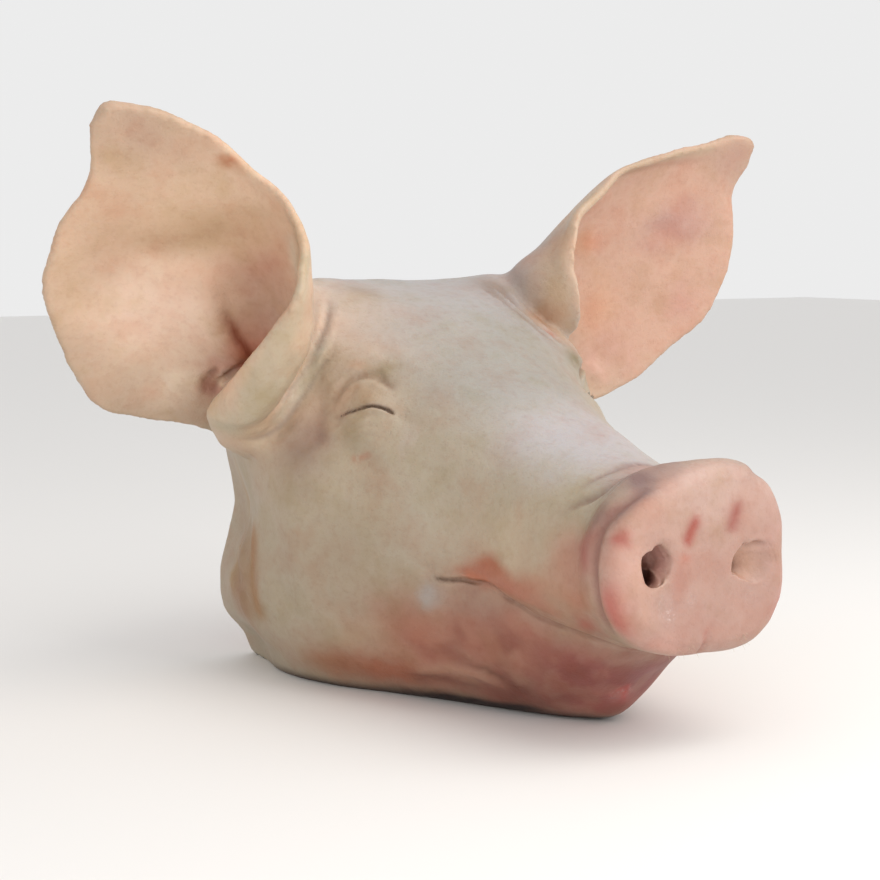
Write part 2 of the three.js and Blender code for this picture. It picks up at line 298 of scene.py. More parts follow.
def smooth_route(line, step=1.0):
    """A smooth line through given points, in steps of about a millimetre."""
    knots = np.array(line, float)
    knots = np.vstack([2 * knots[0] - knots[1], knots, 2 * knots[-1] - knots[-2]])
    route = []
    for a, b, c, d in zip(knots, knots[1:], knots[2:], knots[3:]):
        t = np.linspace(0, 1, max(2, int(np.linalg.norm(c - b) / step)), endpoint=False)[:, None]
        route.append(b + 0.5 * ((c - a) * t + (2 * a - 5 * b + 4 * c - d) * t ** 2 + (3 * b - a - 3 * c + d) * t ** 3))
    return np.vstack(route + [knots[-2][None]])


def fading(along, fade):
    """1 in the middle of a line and 0 at its ends. fade says what share of the line each soft end takes."""
    rise = np.clip(along / max(fade[0], 0.001), 0, 1)
    fall = np.clip((1 - along) / max(fade[1], 0.001), 0, 1)
    shape = np.minimum(rise, fall)
    return shape * shape * (3 - 2 * shape)


def crease(line, width, depth, lip=0.0, fade=(0.25, 0.25)):
    """Presses a valley of that half width along a line. lip raises the skin on both sides of it."""
    chosen, gap, along, facing, _ = clay.near(line, width * 3.5)
    valley = np.exp(-(gap / width) ** 2)
    banks = np.exp(-((gap - 2 * width) / width) ** 2)
    push = (lip * banks - depth * valley) * fading(along, fade) * facing
    clay.at[chosen] += clay.out[chosen] * push[:, None]


def shelf(line, height, softness, reach, fade=(0.2, 0.2)):
    """Raises the skin on the left of a line, so that it drops there. The raised part levels out over the reach."""
    chosen, gap, along, facing, left = clay.near(line, reach * 2.2)
    lift = height * 0.5 * (1 + np.tanh(left / softness)) * np.exp(-(gap / reach) ** 2) * fading(along, fade) * facing
    clay.at[chosen] += clay.out[chosen] * lift[:, None]


def pull(place, reach, shift):
    """Draws a soft round zone that way, both sides of a thin sheet together."""
    clay.at += clay.inside(place, reach)[:, None] * shift


def bulge(place, reach, lift, facing=None):
    """Raises or sinks a soft round zone, on the side of a thin sheet that faces that way, if one is given."""
    amount = lift * clay.inside(place, reach)
    if facing is not None:
        amount *= np.clip(clay.out @ (np.array(facing) / np.linalg.norm(facing)) * 2, 0, 1)
    clay.at += clay.out * amount[:, None]


def both_sides(brush, places, *sizes, **options):
    """Uses a brush on the right side of the face and again on the left."""
    one_place = not isinstance(places[0], tuple)
    brush(places, *sizes, **options)
    brush(mirrored([places])[0] if one_place else mirrored(places), *sizes, **options)


# %% [markdown]
# The lips of a chilled head lie together, so the open slit of the solid is melted shut first, and a finer mouth line
# is pressed in later. The deep pocket between the right ear's root and the temple is melted too, since skin spans it
# in soft folds. Then the whole skin is evened out, and a slow unevenness is put in, because flesh that has lain on a
# table is nowhere perfectly round. The small squares were needed for the thin ear rims. Broad cheeks don't need them,
# so their number is brought down.

# %% Even out the flesh
solid_slit = [(-61, 62, 62), (-59, 69, 63), (-54.5, 80, 62.5), (-52, 92, 60.5), (-50, 104, 57), (-47, 118, 54),
              (-41, 131, 50), (-33, 143, 46)]
mouth_line = [(-60, 64.5, 62.8), (-57.5, 71, 62), (-54, 78.5, 63), (-52, 85, 62.4), (-51, 94, 62.6), (-50, 98.5, 61),
              (-48, 102, 58), (-46, 109, 55.7), (-42.5, 119.5, 51.3), (-39, 127, 49.3), (-35, 135, 47.2), (-28.5, 143.5, 44.1)]
lips_front = [(-28.5, 143.5, 44.1), (-21.5, 149, 41.8), (-9, 153.5, 39.5), (0, 154, 38.5)]
melt_reach = 9
faces_kept = 0.22

ear_pocket = [(-58, -27, 176), (-66, -18, 166), (-75, -13, 155), (-84, -12, 143), (-93, -18, 128), (-105, -23, 119)]
crown_corner = (53, -36, 191)

clay = Clay(skin.data)
melting = 0.9 * clay.inside(crown_corner, (14, 14, 11))
for line in (solid_slit, mirrored(solid_slit), ear_pocket):
    chosen, gap, _, _, _ = clay.near(line, 2.2 * melt_reach)
    melting[chosen] = np.maximum(melting[chosen], np.clip(2.2 - gap / melt_reach, 0, 1))
clay.smooth(190, melting, melt=True)
clay.smooth(30)
both_sides(crease, solid_slit, 5, -0.9, fade=(0.2, 0.2))
clay.face_out()


def unevenness(spacing, height, seed):
    """Slow bumps that far apart, as heights for every point."""
    shift = Vector((seed, seed, seed))
    return height * np.array([noise.noise(Vector(p) / spacing + shift) for p in clay.at])


waviness = unevenness(24, 0.9, 3) + unevenness(9, 0.22, 8)
above_table = np.clip(clay.at[:, 2] / 6, 0, 1)
clay.at += clay.out * (waviness * above_table)[:, None]
clay.face_out()
modified(skin, "DECIMATE", ratio=faces_kept)
print("skin has", len(skin.data.vertices), "points after thinning out")

# %% [markdown]
# Lids, nostrils and lips have detail finer than what is left. The faces are split there and nowhere else, so the
# whole skin stays light.

# %% Split the faces where the detail is fine
fine_zones = [
    {"at": (-66, 17, 132), "reach": 25, "times": 2},
    {"at": (66, 17, 132), "reach": 25, "times": 2},
    {"at": (0, 178, 80), "reach": 54, "times": 1},
    {"at": (-23, 176, 80), "reach": 18, "times": 2},
    {"at": (23, 176, 80), "reach": 18, "times": 2},
    {"at": (-105, -57, 145), "reach": 20, "times": 1},
]
fine_lines = [
    {"line": mouth_line + lips_front, "reach": 7},
    {"line": mirrored(mouth_line + lips_front), "reach": 7},
    {"line": [(-56, -30, 181), (-62, -21, 170), (-75, -12, 155), (-84, -12, 140), (-92, -18, 126), (-106, -22, 119)],
     "reach": 11},
    {"line": [(-39, 134, 99), (-26, 142, 110), (-6, 150, 117), (15, 148, 117)], "reach": 14},
    {"line": [(41, -28, 183), (43, -10, 175), (46, 4, 165)], "reach": 10},
]
for fine in fine_lines:
    for along_line in smooth_route(fine["line"], step=fine["reach"] * 0.7):
        fine_zones.append({"at": tuple(along_line), "reach": fine["reach"], "times": 1})


def split_faces(mesh, zones):
    """Splits the edges inside the zones in two, once or twice, and joins the new points by edges."""
    shape = bmesh.new()
    shape.from_mesh(mesh)
    bmesh.ops.triangulate(shape, faces=shape.faces)
    for turn in range(max(zone["times"] for zone in zones)):
        middles = np.array([tuple((e.verts[0].co + e.verts[1].co) / 2) for e in shape.edges]) / TO_BLENDER
        chosen = np.zeros(len(middles), bool)
        for zone in zones:
            if zone["times"] > turn:
                reach = zone["reach"] * (1 - 0.3 * turn)
                chosen |= ((middles - zone["at"]) ** 2).sum(1) < reach ** 2
        split = [e for e, wanted in zip(shape.edges, chosen) if wanted]
        bmesh.ops.subdivide_edges(shape, edges=split, cuts=1, use_grid_fill=True)
        bmesh.ops.triangulate(shape, faces=shape.faces)
    shape.to_mesh(mesh)
    shape.free()


split_faces(skin.data, fine_zones)
clay = Clay(skin.data)
clay.smooth(4)
print("skin has", len(clay.at), "points after splitting, and", len(skin.data.polygons), "faces")

# %% [markdown]
# The eyes are shut. Under the lids the eyeball bulges, the lashes' slit curves over it, and thin folded skin lies in
# rings round it: one clear crease above and a faint one below. Lines through a few places by the bones of the head
# are enough, pressed in with a soft round section.

# %% Eyes
lid_slit = [(-73.5, 4, 128), (-70.6, 7.2, 131.3), (-68, 12, 132.7), (-66, 14.7, 133.9), (-63.5, 19.4, 135.1),
            (-59.7, 24.5, 133.9), (-56.8, 29, 131)]
upper_lid_crease = [(-74, -1.5, 131), (-72, -1, 136.5), (-68.7, 0.5, 142), (-65.8, 2.8, 145.3), (-62, 6.3, 147.8),
                    (-59, 9.5, 148.2), (-56, 13.5, 147), (-53.6, 18.5, 143.8), (-52, 24, 140.3)]
lower_lid_crease = [(-75.5, 5, 122), (-74, 11, 117), (-72.5, 18, 112.5), (-69.5, 26, 109.5), (-64.5, 33, 111.5)]
socket_edge = [(-72, -4, 147), (-76, -6, 138), (-79, -5, 130), (-82, -4, 121), (-83, 1, 113)]

both_sides(bulge, (-66, 20, 123), (11, 13, 9), 1.2)
both_sides(bulge, (-65, 11, 140), (9, 10, 5), 0.8)
both_sides(crease, socket_edge, 6, 1.5, lip=0.3)
both_sides(crease, upper_lid_crease, 1.8, 1.5, lip=0.4, fade=(0.3, 0.25))
both_sides(crease, lower_lid_crease, 3.5, 0.45, lip=0.15)
clay.face_out()
both_sides(crease, lid_slit, 0.7, 2.0, lip=0.15, fade=(0.3, 0.12))
both_sides(bulge, (-54.5, 32, 130), (3, 3, 3), -0.8)
both_sides(bulge, (-73.5, 5, 127), (3, 3, 3), -0.6)
for drop in (4, 8.5, 12.5):
    under_eye = [(side * (1 + 0.004 * drop), forward + 0.35 * drop, up - drop) for side, forward, up in lid_slit[1:6]]
    both_sides(crease, under_eye, 1.2, 0.22, lip=0.1, fade=(0.4, 0.3))
clay.face_out()

# %% [markdown]
# The snout ends in a tough disc with a thick, soft rim that isn't quite round. Its nostrils are wider at the top than
# below. Flaps swell inside and nearly shut them, so they look shallow, and the wall towards the pig's left slopes in
# gently in both. The way there is to move the points of the disc and of the solid's plain tunnels in or out, by their
# direction from the middle.

# %% Nostrils
nostril_middle = (23, 177.5, 77.5)
tunnel = {"width": 7, "height": 9, "depth": 24, "splay": 0.25}
flap_depth = 20
# By direction (0 is outwards, 90 up, 180 to the middle of the snout): how far the rim stands from the nostril's middle,
# and what share of that is left deep inside. Flaps fill the far end, and lean moves it outwards.
nostrils = {
    -1: {"rim": [(0, 9.2, 1.0), (36, 11.4, 1.0), (63, 10, 1.0), (94, 13.4, 1.0), (129, 11.5, 0.8), (146, 10.2, 0.6),
                 (170, 8, 0.4), (205, 6.5, 0.3), (241, 6, 0.3), (280, 6.5, 0.4), (315, 7.8, 0.6), (335, 8.7, 0.9),
                 (360, 9.2, 1.0)], "filled": 0.62, "lean": 0.3},
    1: {"rim": [(0, 13, 0.05), (40, 11, 0.2), (75, 8, 0.7), (96, 10, 1.0), (131, 8.6, 1.0), (160, 9, 1.0),
                (188, 10, 1.0), (213, 10.8, 0.9), (225, 9, 0.4), (270, 8, 0.1), (320, 11, 0.05), (360, 13, 0.05)],
        "filled": 0.7, "lean": -0.2},
}
# How far the rim of the disc is moved out, by direction seen from the front: 0 is the pig's left, 90 up.
rim_moves = [(0, -0.8), (20, 1.2), (38, 2.8), (56, 2.8), (72, 1.0), (88, -1.4), (100, -3.2), (112, -4.8), (124, -5.4),
             (138, -4.0), (155, -2), (180, 0), (255, -0.3), (272, -0.8), (290, 1.0), (311, 3.2), (335, 1.0), (360, -0.8)]


def nostril_walls(sign):
    """Moves the tunnel's wall and the rim on one side of the snout."""
    rim_directions, rim_distances, deep_shares = zip(*nostrils[sign]["rim"])
    across = clay.at[:, 0] * sign - nostril_middle[0]
    inwards = np.clip(nostril_middle[1] - clay.at[:, 1], 0, tunnel["depth"])
    up = clay.at[:, 2] - nostril_middle[2]
    across += tunnel["splay"] * inwards
    away = np.hypot(across, up)
    direction = np.degrees(np.arctan2(up, across)) % 360
    turn = np.radians(direction)
    round_shape = np.sqrt(np.clip(1 - (inwards / tunnel["depth"]) ** 2, 0.04, 1))
    plain = round_shape / np.sqrt((np.cos(turn) / tunnel["width"]) ** 2 + (np.sin(turn) / tunnel["height"]) ** 2)
    deep = np.clip(inwards / flap_depth, 0, 1)
    deep = deep * deep * (3 - 2 * deep)
    shape = np.interp(direction, rim_directions, rim_distances) * round_shape
    shape *= 1 - deep * (1 - np.interp(direction, rim_directions, deep_shares))
    outside = np.clip(away - plain, 0, None)
    held = np.exp(-(outside / 7) ** 2)
    held *= (clay.at[:, 1] > nostril_middle[1] - tunnel["depth"] - 4) & (away < 26) & (clay.at[:, 0] * sign > 0)
    change = (shape - plain) * held * np.clip(away / plain, 0, 1) / np.maximum(away, 0.5)
    clay.at[:, 0] += sign * (across * change + nostrils[sign]["lean"] * inwards * held)
    clay.at[:, 2] += up * change
    clay.at[:, 1] += nostrils[sign]["filled"] * inwards * held


disc_middle = (0, 178, 79)
from_disc_middle = np.hypot(clay.at[:, 0] / 47, (clay.at[:, 2] - disc_middle[2]) / 39)
on_rim = np.exp(-((from_disc_middle - 1) / 0.22) ** 2) * np.clip((clay.at[:, 1] - 155) / 8, 0, 1)
clay.at += clay.out * (0.9 * on_rim)[:, None]
clay.smooth(70, on_rim, melt=True)
on_disc = np.clip(1.6 * clay.inside(disc_middle, (44, 13, 37)), 0, 1)
clay.smooth(20, on_disc, melt=True)
clay.at += clay.out * (on_disc * (unevenness(9, 0.5, 5) + unevenness(3.5, 0.14, 6)))[:, None]
rim_turn = np.arctan2(clay.at[:, 2] - disc_middle[2], clay.at[:, 0])
rim_move = np.interp(np.degrees(rim_turn) % 360, *zip(*rim_moves))
rim_move *= np.clip((from_disc_middle - 0.5) / 0.4, 0, 1) * np.clip((clay.at[:, 1] - 160) / 9, 0, 1)
clay.at += np.stack([np.cos(rim_turn), np.zeros(len(rim_turn)), np.sin(rim_turn)], 1) * rim_move[:, None]
clay.smooth(60, np.clip(1.5 * on_rim, 0, 1))
for sign in (-1, 1):
    nostril_walls(sign)
near_nostrils = clay.inside((-23, 174, 78), (15, 14, 15)) + clay.inside((23, 174, 78), (15, 14, 15))
clay.smooth(5, np.clip(2 * near_nostrils, 0, 1))
both_sides(bulge, (-23, 177, 63), (6, 7, 5), -1.2)
clay.face_out()

# %% [markdown]
# Round the nostrils the disc swells a little. A groove runs down its middle into the upper lip. Behind the disc the
# skin gathers in rings, as a stocking does, and the deepest ring lies tight against the rim.

# %% Snout
philtrum = [(0, 180, 54), (-0.5, 180, 49), (-1.5, 179, 44), (-2, 175, 40)]
outer_slit = [(-21, 174, 85), (-26, 176, 84.6), (-31, 177, 84.2), (-37, 177.5, 84)]
behind_disc = [(-23, 172, 115), (-31, 169.5, 110.5), (-37, 168, 107), (-41, 166, 102), (-43.8, 164, 95), (-46, 163.5, 84),
               (-46, 163.5, 72), (-44, 163, 61), (-38.5, 162, 52.5), (-30, 160, 45.5)]
muzzle_edge = [(-28, 156, 112), (-35, 155, 107), (-40.5, 154, 99), (-43.5, 154, 88), (-43.8, 153, 76), (-42, 152, 64),
               (-36, 150, 54)]
snout_rings = [
    {"line": [(-31, 129, 105), (-27.5, 131.5, 108), (-20, 132.5, 112), (-9, 132, 114.5), (3, 129, 115.3), (14, 126, 115)],
     "depth": 1.0},
    {"line": [(-39.5, 127, 94), (-38, 129, 97), (-34.5, 135, 101), (-30, 141, 104.5), (-24, 146, 109), (-14, 150, 113.5),
              (-2, 151, 116)], "depth": 1.5},
    {"line": [(-43, 142, 92), (-40, 147, 98), (-35, 152, 104.5), (-26, 156, 111), (-14, 158, 116), (0, 159, 118)],
     "depth": 1.2},
]

bulge((0, 178, 80), (27, 14, 25), 0.8, facing=(0, 1, 0))
both_sides(bulge, (-23, 178, 94), (12, 6, 5), 0.6)
both_sides(bulge, (-36, 177, 72), (5, 6, 12), 1.1)
both_sides(crease, muzzle_edge, 7, -1.8, fade=(0.3, 0.3))
clay.face_out()
both_sides(crease, behind_disc, 2.6, 1.6, fade=(0.15, 0.2))
crease(mirrored(outer_slit), 1.5, 0.9, lip=0.2, fade=(0.2, 0.6))
crease(philtrum, 1.3, 1.7, lip=0.4, fade=(0.6, 0.15))
for ring in snout_rings:
    both_sides(crease, ring["line"], 2.0, ring["depth"], lip=ring["depth"] * 0.6, fade=(0.4, 0.4))
clay.face_out()
clay.smooth(4, clay.inside((0, 145, 112), (44, 24, 22)))

# %% [markdown]
# The lips meet in a thin shadowed line. The upper one hangs over a little and the lower one draws back, so the line
# gets a swelling above it and a hollow below it before it is pressed in.

# %% Mouth
whole_mouth = mouth_line + lips_front[1:] + mirrored(lips_front[:-1])[::-1] + mirrored(mouth_line[:-1])[::-1]
upper_lip = [(-58, 76, 68), (-54.5, 88, 67), (-52.5, 100, 64), (-50, 113, 60.5), (-45, 127, 57), (-38, 140, 52)]
lower_lip = [(-57, 78, 57), (-53, 92, 55), (-50, 105, 51.5), (-45.5, 118, 48), (-38.5, 131, 43.5)]
jaw_roll = [(-56, 36, 13), (-52.5, 50, 18), (-49, 60, 20), (-44, 73, 20), (-37.5, 84, 16), (-33, 90, 12)]
jaw_furrows = [
    [(-47, 70, 26), (-44.5, 76.8, 23.5), (-40, 84, 20), (-34, 92, 15.8), (-29.5, 96, 11.5)],
    [(-56, 32, 7.5), (-51, 46, 12), (-45, 55, 11.5), (-40, 63, 11), (-35.5, 73, 10)],
]
corner_folds = [
    [(-60, 65, 61), (-63, 60, 57), (-66, 54, 51), (-69, 47, 45)],
    [(-60, 66, 65), (-63, 60, 67), (-66, 53, 68)],
    [(-56, 78, 57), (-61, 68, 50), (-65, 57, 43)],
]

both_sides(crease, upper_lip, 4, -1.4, fade=(0.3, 0.2))
both_sides(crease, lower_lip, 4, 0.5, fade=(0.3, 0.2))
clay.face_out()
crease(whole_mouth, 1.0, 1.0, lip=0.2, fade=(0.06, 0.06))
both_sides(crease, mouth_line[:6], 0.9, 1.0, fade=(0.25, 0.4))
for fold in corner_folds:
    both_sides(crease, fold, 2.6, 0.6, lip=0.3, fade=(0.1, 0.6))
bulge((10, 131, 20), (12, 9, 10), -2.2)
both_sides(crease, jaw_roll, 3.4, -1.5, fade=(0.3, 0.3))
clay.face_out()
for furrow in jaw_furrows:
    both_sides(crease, furrow, 2.0, 1.0, lip=0.2, fade=(0.3, 0.3))
clay.face_out()

# %% [markdown]
# Where an ear grows out of the head its skin lies in folds that run round the root, and the forehead wrinkles towards
# it. The jowl and neck hang in soft upright folds. Each is one line with a wide, shallow section.

# %% Folds of the ears, forehead and jowl
right_ear_folds = [
    {"line": [(-53.5, -35, 186.7), (-62.3, -23.4, 173), (-70.5, -18, 162), (-79, -14, 150), (-88, -13, 139),
              (-98, -10, 130), (-107, -9, 126)], "width": 2.0, "depth": 1.2, "lip": 0.5},
    {"line": [(-61.7, -9.5, 163.7), (-73.3, -10, 153), (-81, -11, 141), (-87.3, -15.5, 129.3),
              (-93.4, -21, 121.3), (-104.5, -24, 117.5), (-113, -26, 119)], "width": 3.2, "depth": 1.3, "lip": 0.6},
    {"line": [(-104, 27, 162), (-109, 20, 152), (-113.5, 11, 141.5), (-117, 0, 132.5), (-119, -14, 127)],
     "width": 2.2, "depth": 0.6, "lip": 0.3},
]
left_ear_folds = [
    {"line": [(39, -34, 187), (42, -27, 183), (43, -18, 178), (44, -6, 172), (48, 4, 165), (58, 8, 158)],
     "width": 2.2, "depth": 1.8, "lip": 0.8},
    {"line": [(30, -36, 188), (35, -22, 183), (37, -8, 175), (40, 4, 167), (46, 13, 158)],
     "width": 2.0, "depth": 1.0, "lip": 0.5},
    {"line": [(18, -38, 188), (26, -22, 184), (31, -6, 176), (35, 8, 167)], "width": 2.2, "depth": 0.6, "lip": 0.3},
    {"line": [(6, -26, 185), (16, -14, 181), (24, 2, 173), (29, 14, 165)], "width": 2.4, "depth": 0.35, "lip": 0.2},
]
forehead_folds = [
    {"line": [(-35, -12, 178), (-20, 0, 172), (-2, 8, 169), (14, 10, 168)], "width": 2.6, "depth": 0.35, "lip": 0.2},
    {"line": [(-38, -22, 182), (-24, -18, 181), (-8, -12, 179), (6, -10, 178)], "width": 2.6, "depth": 0.3, "lip": 0.2},
]
jowl_folds = [
    {"line": [(-93, -52, 84), (-93, -50, 62), (-92, -46, 44), (-88, -42, 24)], "width": 4.5, "depth": 1.6, "lip": 0.6},
    {"line": [(-91, -66, 72), (-91, -66, 52), (-89, -62, 32)], "width": 3.5, "depth": 1.4, "lip": 0.6},
    {"line": [(-93, -28, 92), (-93, -20, 66), (-90, -14, 44), (-84, -6, 26)], "width": 7, "depth": 1.1, "lip": 0.4},
    {"line": [(-86, 2, 44), (-78, 20, 40), (-70, 40, 42), (-63, 56, 50)], "width": 6, "depth": 0.9, "lip": 0.4},
    {"line": [(-84, 6, 30), (-74, 26, 28), (-64, 48, 30)], "width": 4, "depth": 0.7, "lip": 0.3},
    {"line": [(-86, -90, 52), (-91, -72, 54), (-92.5, -58, 46), (-90, -47, 28)], "width": 4, "depth": 1.6, "lip": 0.9},
]

for fold in right_ear_folds + left_ear_folds + forehead_folds:
    crease(fold["line"], fold["width"], fold["depth"], fold["lip"])
for fold in jowl_folds:
    both_sides(crease, fold["line"], fold["width"], fold["depth"], fold["lip"])
clay.face_out()
clay.smooth(5, clay.inside((-86, -14, 142), (34, 30, 44)))

# %% [markdown]
# The ears are thin sheets, and each is a little different. The right one is seen from inside: a pale lobe swells from
# its outer half and drops at a curved edge into the red channel that leads to the ear hole. Sheets are drawn about
# with both their sides together, so that they keep their thickness.

# %% Ears
OUT_OF_RIGHT_EAR = (-0.4, 0.85, 0.15)
OUT_OF_LEFT_EAR = (-0.35, 0.9, 0.1)
lobe_edge = [(-96.5, -36, 156.5), (-101.5, -36.6, 162.3), (-107.3, -35.3, 169.5), (-112.6, -33.6, 176.1),
             (-115.8, -30.3, 182.7), (-117.9, -26.9, 188.8), (-124.3, -23.9, 198), (-143.5, -32.7, 200.3), (-162, -38, 203)]
canal_folds = [
    [(-105.5, -51.5, 153), (-105.5, -58, 146), (-106.5, -63.5, 141), (-106, -67.7, 134.6)],
    [(-100.6, -43.5, 154.9), (-100, -52, 148), (-102, -59.5, 142.5), (-103.3, -67, 133.5)],
]
ear_waves = [
    {"line": [(-152, -24, 217), (-132, -15, 217), (-117, -2, 219), (-110, 14, 221)], "width": 7, "depth": 1.0, "lip": 0.6},
    {"line": [(178, -34, 226), (160, -38, 219), (143, -38, 212), (128, -40, 200)], "width": 6, "depth": 1.0, "lip": 0.6},
    {"line": [(183, -30, 214), (165, -40, 203), (148, -45, 192)], "width": 6, "depth": 0.9, "lip": 0.5},
    {"line": [(112, -46, 196), (116, -50, 180), (122, -52, 164)], "width": 7, "depth": -0.9, "lip": 0.0},
]
pulls = [
    {"at": (76, 2, 220), "reach": (13, 10, 21), "shift": (-6.5, -4.2, 0)},
    {"at": (64, 2, 199), "reach": (8, 9, 11), "shift": (-3.6, -2.3, 0)},
    {"at": (66.5, -5, 170), "reach": (9, 9, 13), "shift": (3, 2, 0)},
    {"at": (54, -29, 192), "reach": (13, 14, 10), "shift": (-3.5, -2.3, 2)},
    {"at": (47, -38, 191), "reach": (14, 13, 8), "shift": (0, 0, 1.4)},
    {"at": (55, -28, 197), "reach": (15, 13, 11), "shift": (-0.8, -0.5, 1.6)},
    {"at": (-50, -43, 191), "reach": (14, 12, 8), "shift": (0, 0, -3.0)},
    {"at": (-102, 35, 197), "reach": (9, 11, 10), "shift": (-1.8, -1.2, 0)},
    {"at": (-112, 22, 229), "reach": (13, 13, 15), "shift": (1.5, 1.0, 1.3)},
    {"at": (188, -38, 200), "reach": (22, 18, 28), "shift": (4.5, 2.2, -0.5)},
    {"at": (100, -8, 243), "reach": (22, 13, 13), "shift": (-1.6, -1.0, 2.2)},
    {"at": (193, -27, 236), "reach": (9, 12, 15), "shift": (-2.6, -1.6, 0)},
    {"at": (192, -17, 259), "reach": (8, 9, 7), "shift": (2.2, 1.4, 2.0)},
    {"at": (140, -50, 141), "reach": (18, 12, 10), "shift": (1.0, 0.6, -3.0)},
    {"at": (-187, -5, 257), "reach": (7, 9, 9), "shift": (1.4, 0.9, 1.5)},
    {"at": (-186, -8, 245), "reach": (8, 10, 9), "shift": (-2.0, -1.3, 0)},
    {"at": (-180, -2, 267), "reach": (9, 9, 6), "shift": (-2.2, -1.4, 2.2)},
    {"at": (-187, -32, 218), "reach": (10, 14, 14), "shift": (-5.4, -3.5, -1)},
    {"at": (-164, -77, 146), "reach": (10, 12, 8), "shift": (0.9, 0.6, 0.8)},
    {"at": (-138, 9, 252), "reach": (24, 13, 13), "shift": (1.4, 0.9, 2.7)},
    {"at": (-148, -79, 136), "reach": (18, 14, 9), "shift": (0, 0, -4.2)},
    {"at": (-112, -75, 122), "reach": (12, 10, 8), "shift": (0, 0, 2.2)},
    {"at": (-121, -27, 128), "reach": (9, 9, 9), "shift": (-2.5, -1.6, 0.8)},
    {"at": (120, -54, 134), "reach": (12, 12, 9), "shift": (0, 0, -4.2)},
    {"at": (61, 18, 149), "reach": (12, 14, 8), "shift": (2.6, 1.7, 0)},
    {"at": (64, 5, 154), "reach": (12, 12, 12), "shift": (2.0, 1.3, 0)},
    {"at": (60, 23, 134), "reach": (9, 11, 8), "shift": (-3.0, -2.0, 0)},
    {"at": (50, 37, 133), "reach": (7, 7, 9), "shift": (2.0, 1.3, 0)},
    {"at": (-2, 117, 6), "reach": (14, 12, 7), "shift": (0, 1.3, -1.4)},
    {"at": (0, 134, 25), "reach": (15, 9, 8), "shift": (0, -1.6, -0.4)},
    {"at": (36, 60, 130), "reach": (14, 22, 12), "shift": (-1.3, -0.8, -0.6)},
]

shelf(lobe_edge, 3.6, 4.0, 24, fade=(0.02, 0.35))
clay.face_out()
shelf(lobe_edge[:6], 2.4, 1.3, 9, fade=(0.02, 0.35))
bulge((-104, -19, 181), (9, 14, 20), -1.8, facing=OUT_OF_RIGHT_EAR)
bulge((-104.5, -60, 143.5), (5, 6, 6), -2.5, facing=OUT_OF_RIGHT_EAR)
clay.face_out()
for fold in canal_folds:
    crease(fold, 1.8, 1.3, lip=0.8)
bulge((-99, -57.5, 142.5), (4.5, 5, 3), 1.4, facing=OUT_OF_RIGHT_EAR)
for fold in ear_waves:
    crease(fold["line"], fold["width"], fold["depth"], fold["lip"])
for tug in pulls:
    pull(tug["at"], tug["reach"], tug["shift"])
for side in (-1, 1):
    pull((side * 92, -62, 88), (14, 26, 24), (side * -4, 0, 0))
    pull((side * 84, -78, 82), (14, 24, 18), (side * -2.8, 1, 0))
    pull((side * 86, -76, 68), (11, 17, 15), (side * -4.4, 2.7, 0))
    pull((side * 81, -70, 12), (14, 26, 15), (side * -5.5, 3, 0))
    pull((side * 76, -84, 9), (13, 18, 12), (side * -5.2, 3.6, 2.0))
crease([(113, -55, 148), (118, -55, 144), (123, -54, 140), (127, -52, 133)], 3.5, -1.2)
clay.face_out()
clay.smooth(3)
# Its own weight presses the soft underside flat, out to a rather sharp edge.
clay.at[:, 2] -= 1.6 * np.exp(-((clay.at[:, 2] - 3) / 5) ** 2)
clay.at[:, 2] = np.maximum(clay.at[:, 2], 0)
clay.face_out()

# %% [markdown]
# Shaved, chilled pig skin isn't one colour. It is cool and greyish on the crown, sallow on the cheeks, red where the
# jaw and lips were bruised or bled, and pink where it is thin, on the disc and in the ears. It is painted in layers
# with an airbrush, in places given on the head, as a model painter would. A flat photo stuck on it would show its
# seams from every other side. Each spray spot's edge is made ragged by shifting the places a little.

# %% Airbrush
sallow_skin = "#aa9c87"
paint = np.tile(linear(sallow_skin)[:3], (len(clay.at), 1))
wetness = np.full(len(clay.at), 0.12)
ragged = clay.at + np.array([
    4.5 * noise.noise_vector(Vector(p) / 15) + 1.8 * noise.noise_vector(Vector(p) / 5) for p in clay.at
])


def cover(amount, colour):
    """Blends the whole coat towards a colour, by a share for each point."""
    paint[:] += np.clip(amount, 0, 1)[:, None] * (np.array(linear(colour)[:3]) - paint)


def daub(place, reach, colour, strength=1.0, facing=None):
    """Sprays a soft spot. More strength than 1 gives it a full middle. facing keeps it to one side of a thin sheet."""
    away = (ragged - place) / reach
    amount = strength * np.exp(-(away * away).sum(1))
    if facing is not None:
        amount *= np.clip(0.3 + 2 * clay.out @ (np.array(facing) / np.linalg.norm(facing)), 0, 1)
    cover(amount, colour)


def streak(line, width, colour, strength=1.0, fade=(0.2, 0.2)):
    """Sprays along a line on the skin."""
    chosen, gap, along, facing, _ = clay.near(line, width * 2.5)
    amount = np.zeros(len(clay.at))
    amount[chosen] = strength * np.exp(-(gap / width) ** 2) * fading(along, fade) * facing
    cover(amount, colour)


def hollows():
    """How sharply the skin bends inwards at each point, per millimetre. Ridges come out below zero."""
    lengths = ((clay.at[clay.first] - clay.at[clay.second]) ** 2).sum(1)
    size = len(clay.at)
    span = (np.bincount(clay.first, lengths, size) + np.bincount(clay.second, lengths, size)) / clay.neighbours
    bend = 4 * ((clay.average(clay.at) - clay.at) * clay.out).sum(1) / span
    for _ in range(2):
        bend = 0.5 * bend + 0.5 * clay.average(bend[:, None])[:, 0]
    return bend


# %% [markdown]
# The broad tones come first: the cool crown and bridge, the sallow cheeks, the brown band down the jowl and the dull
# purple patch of a bruise behind the eye.

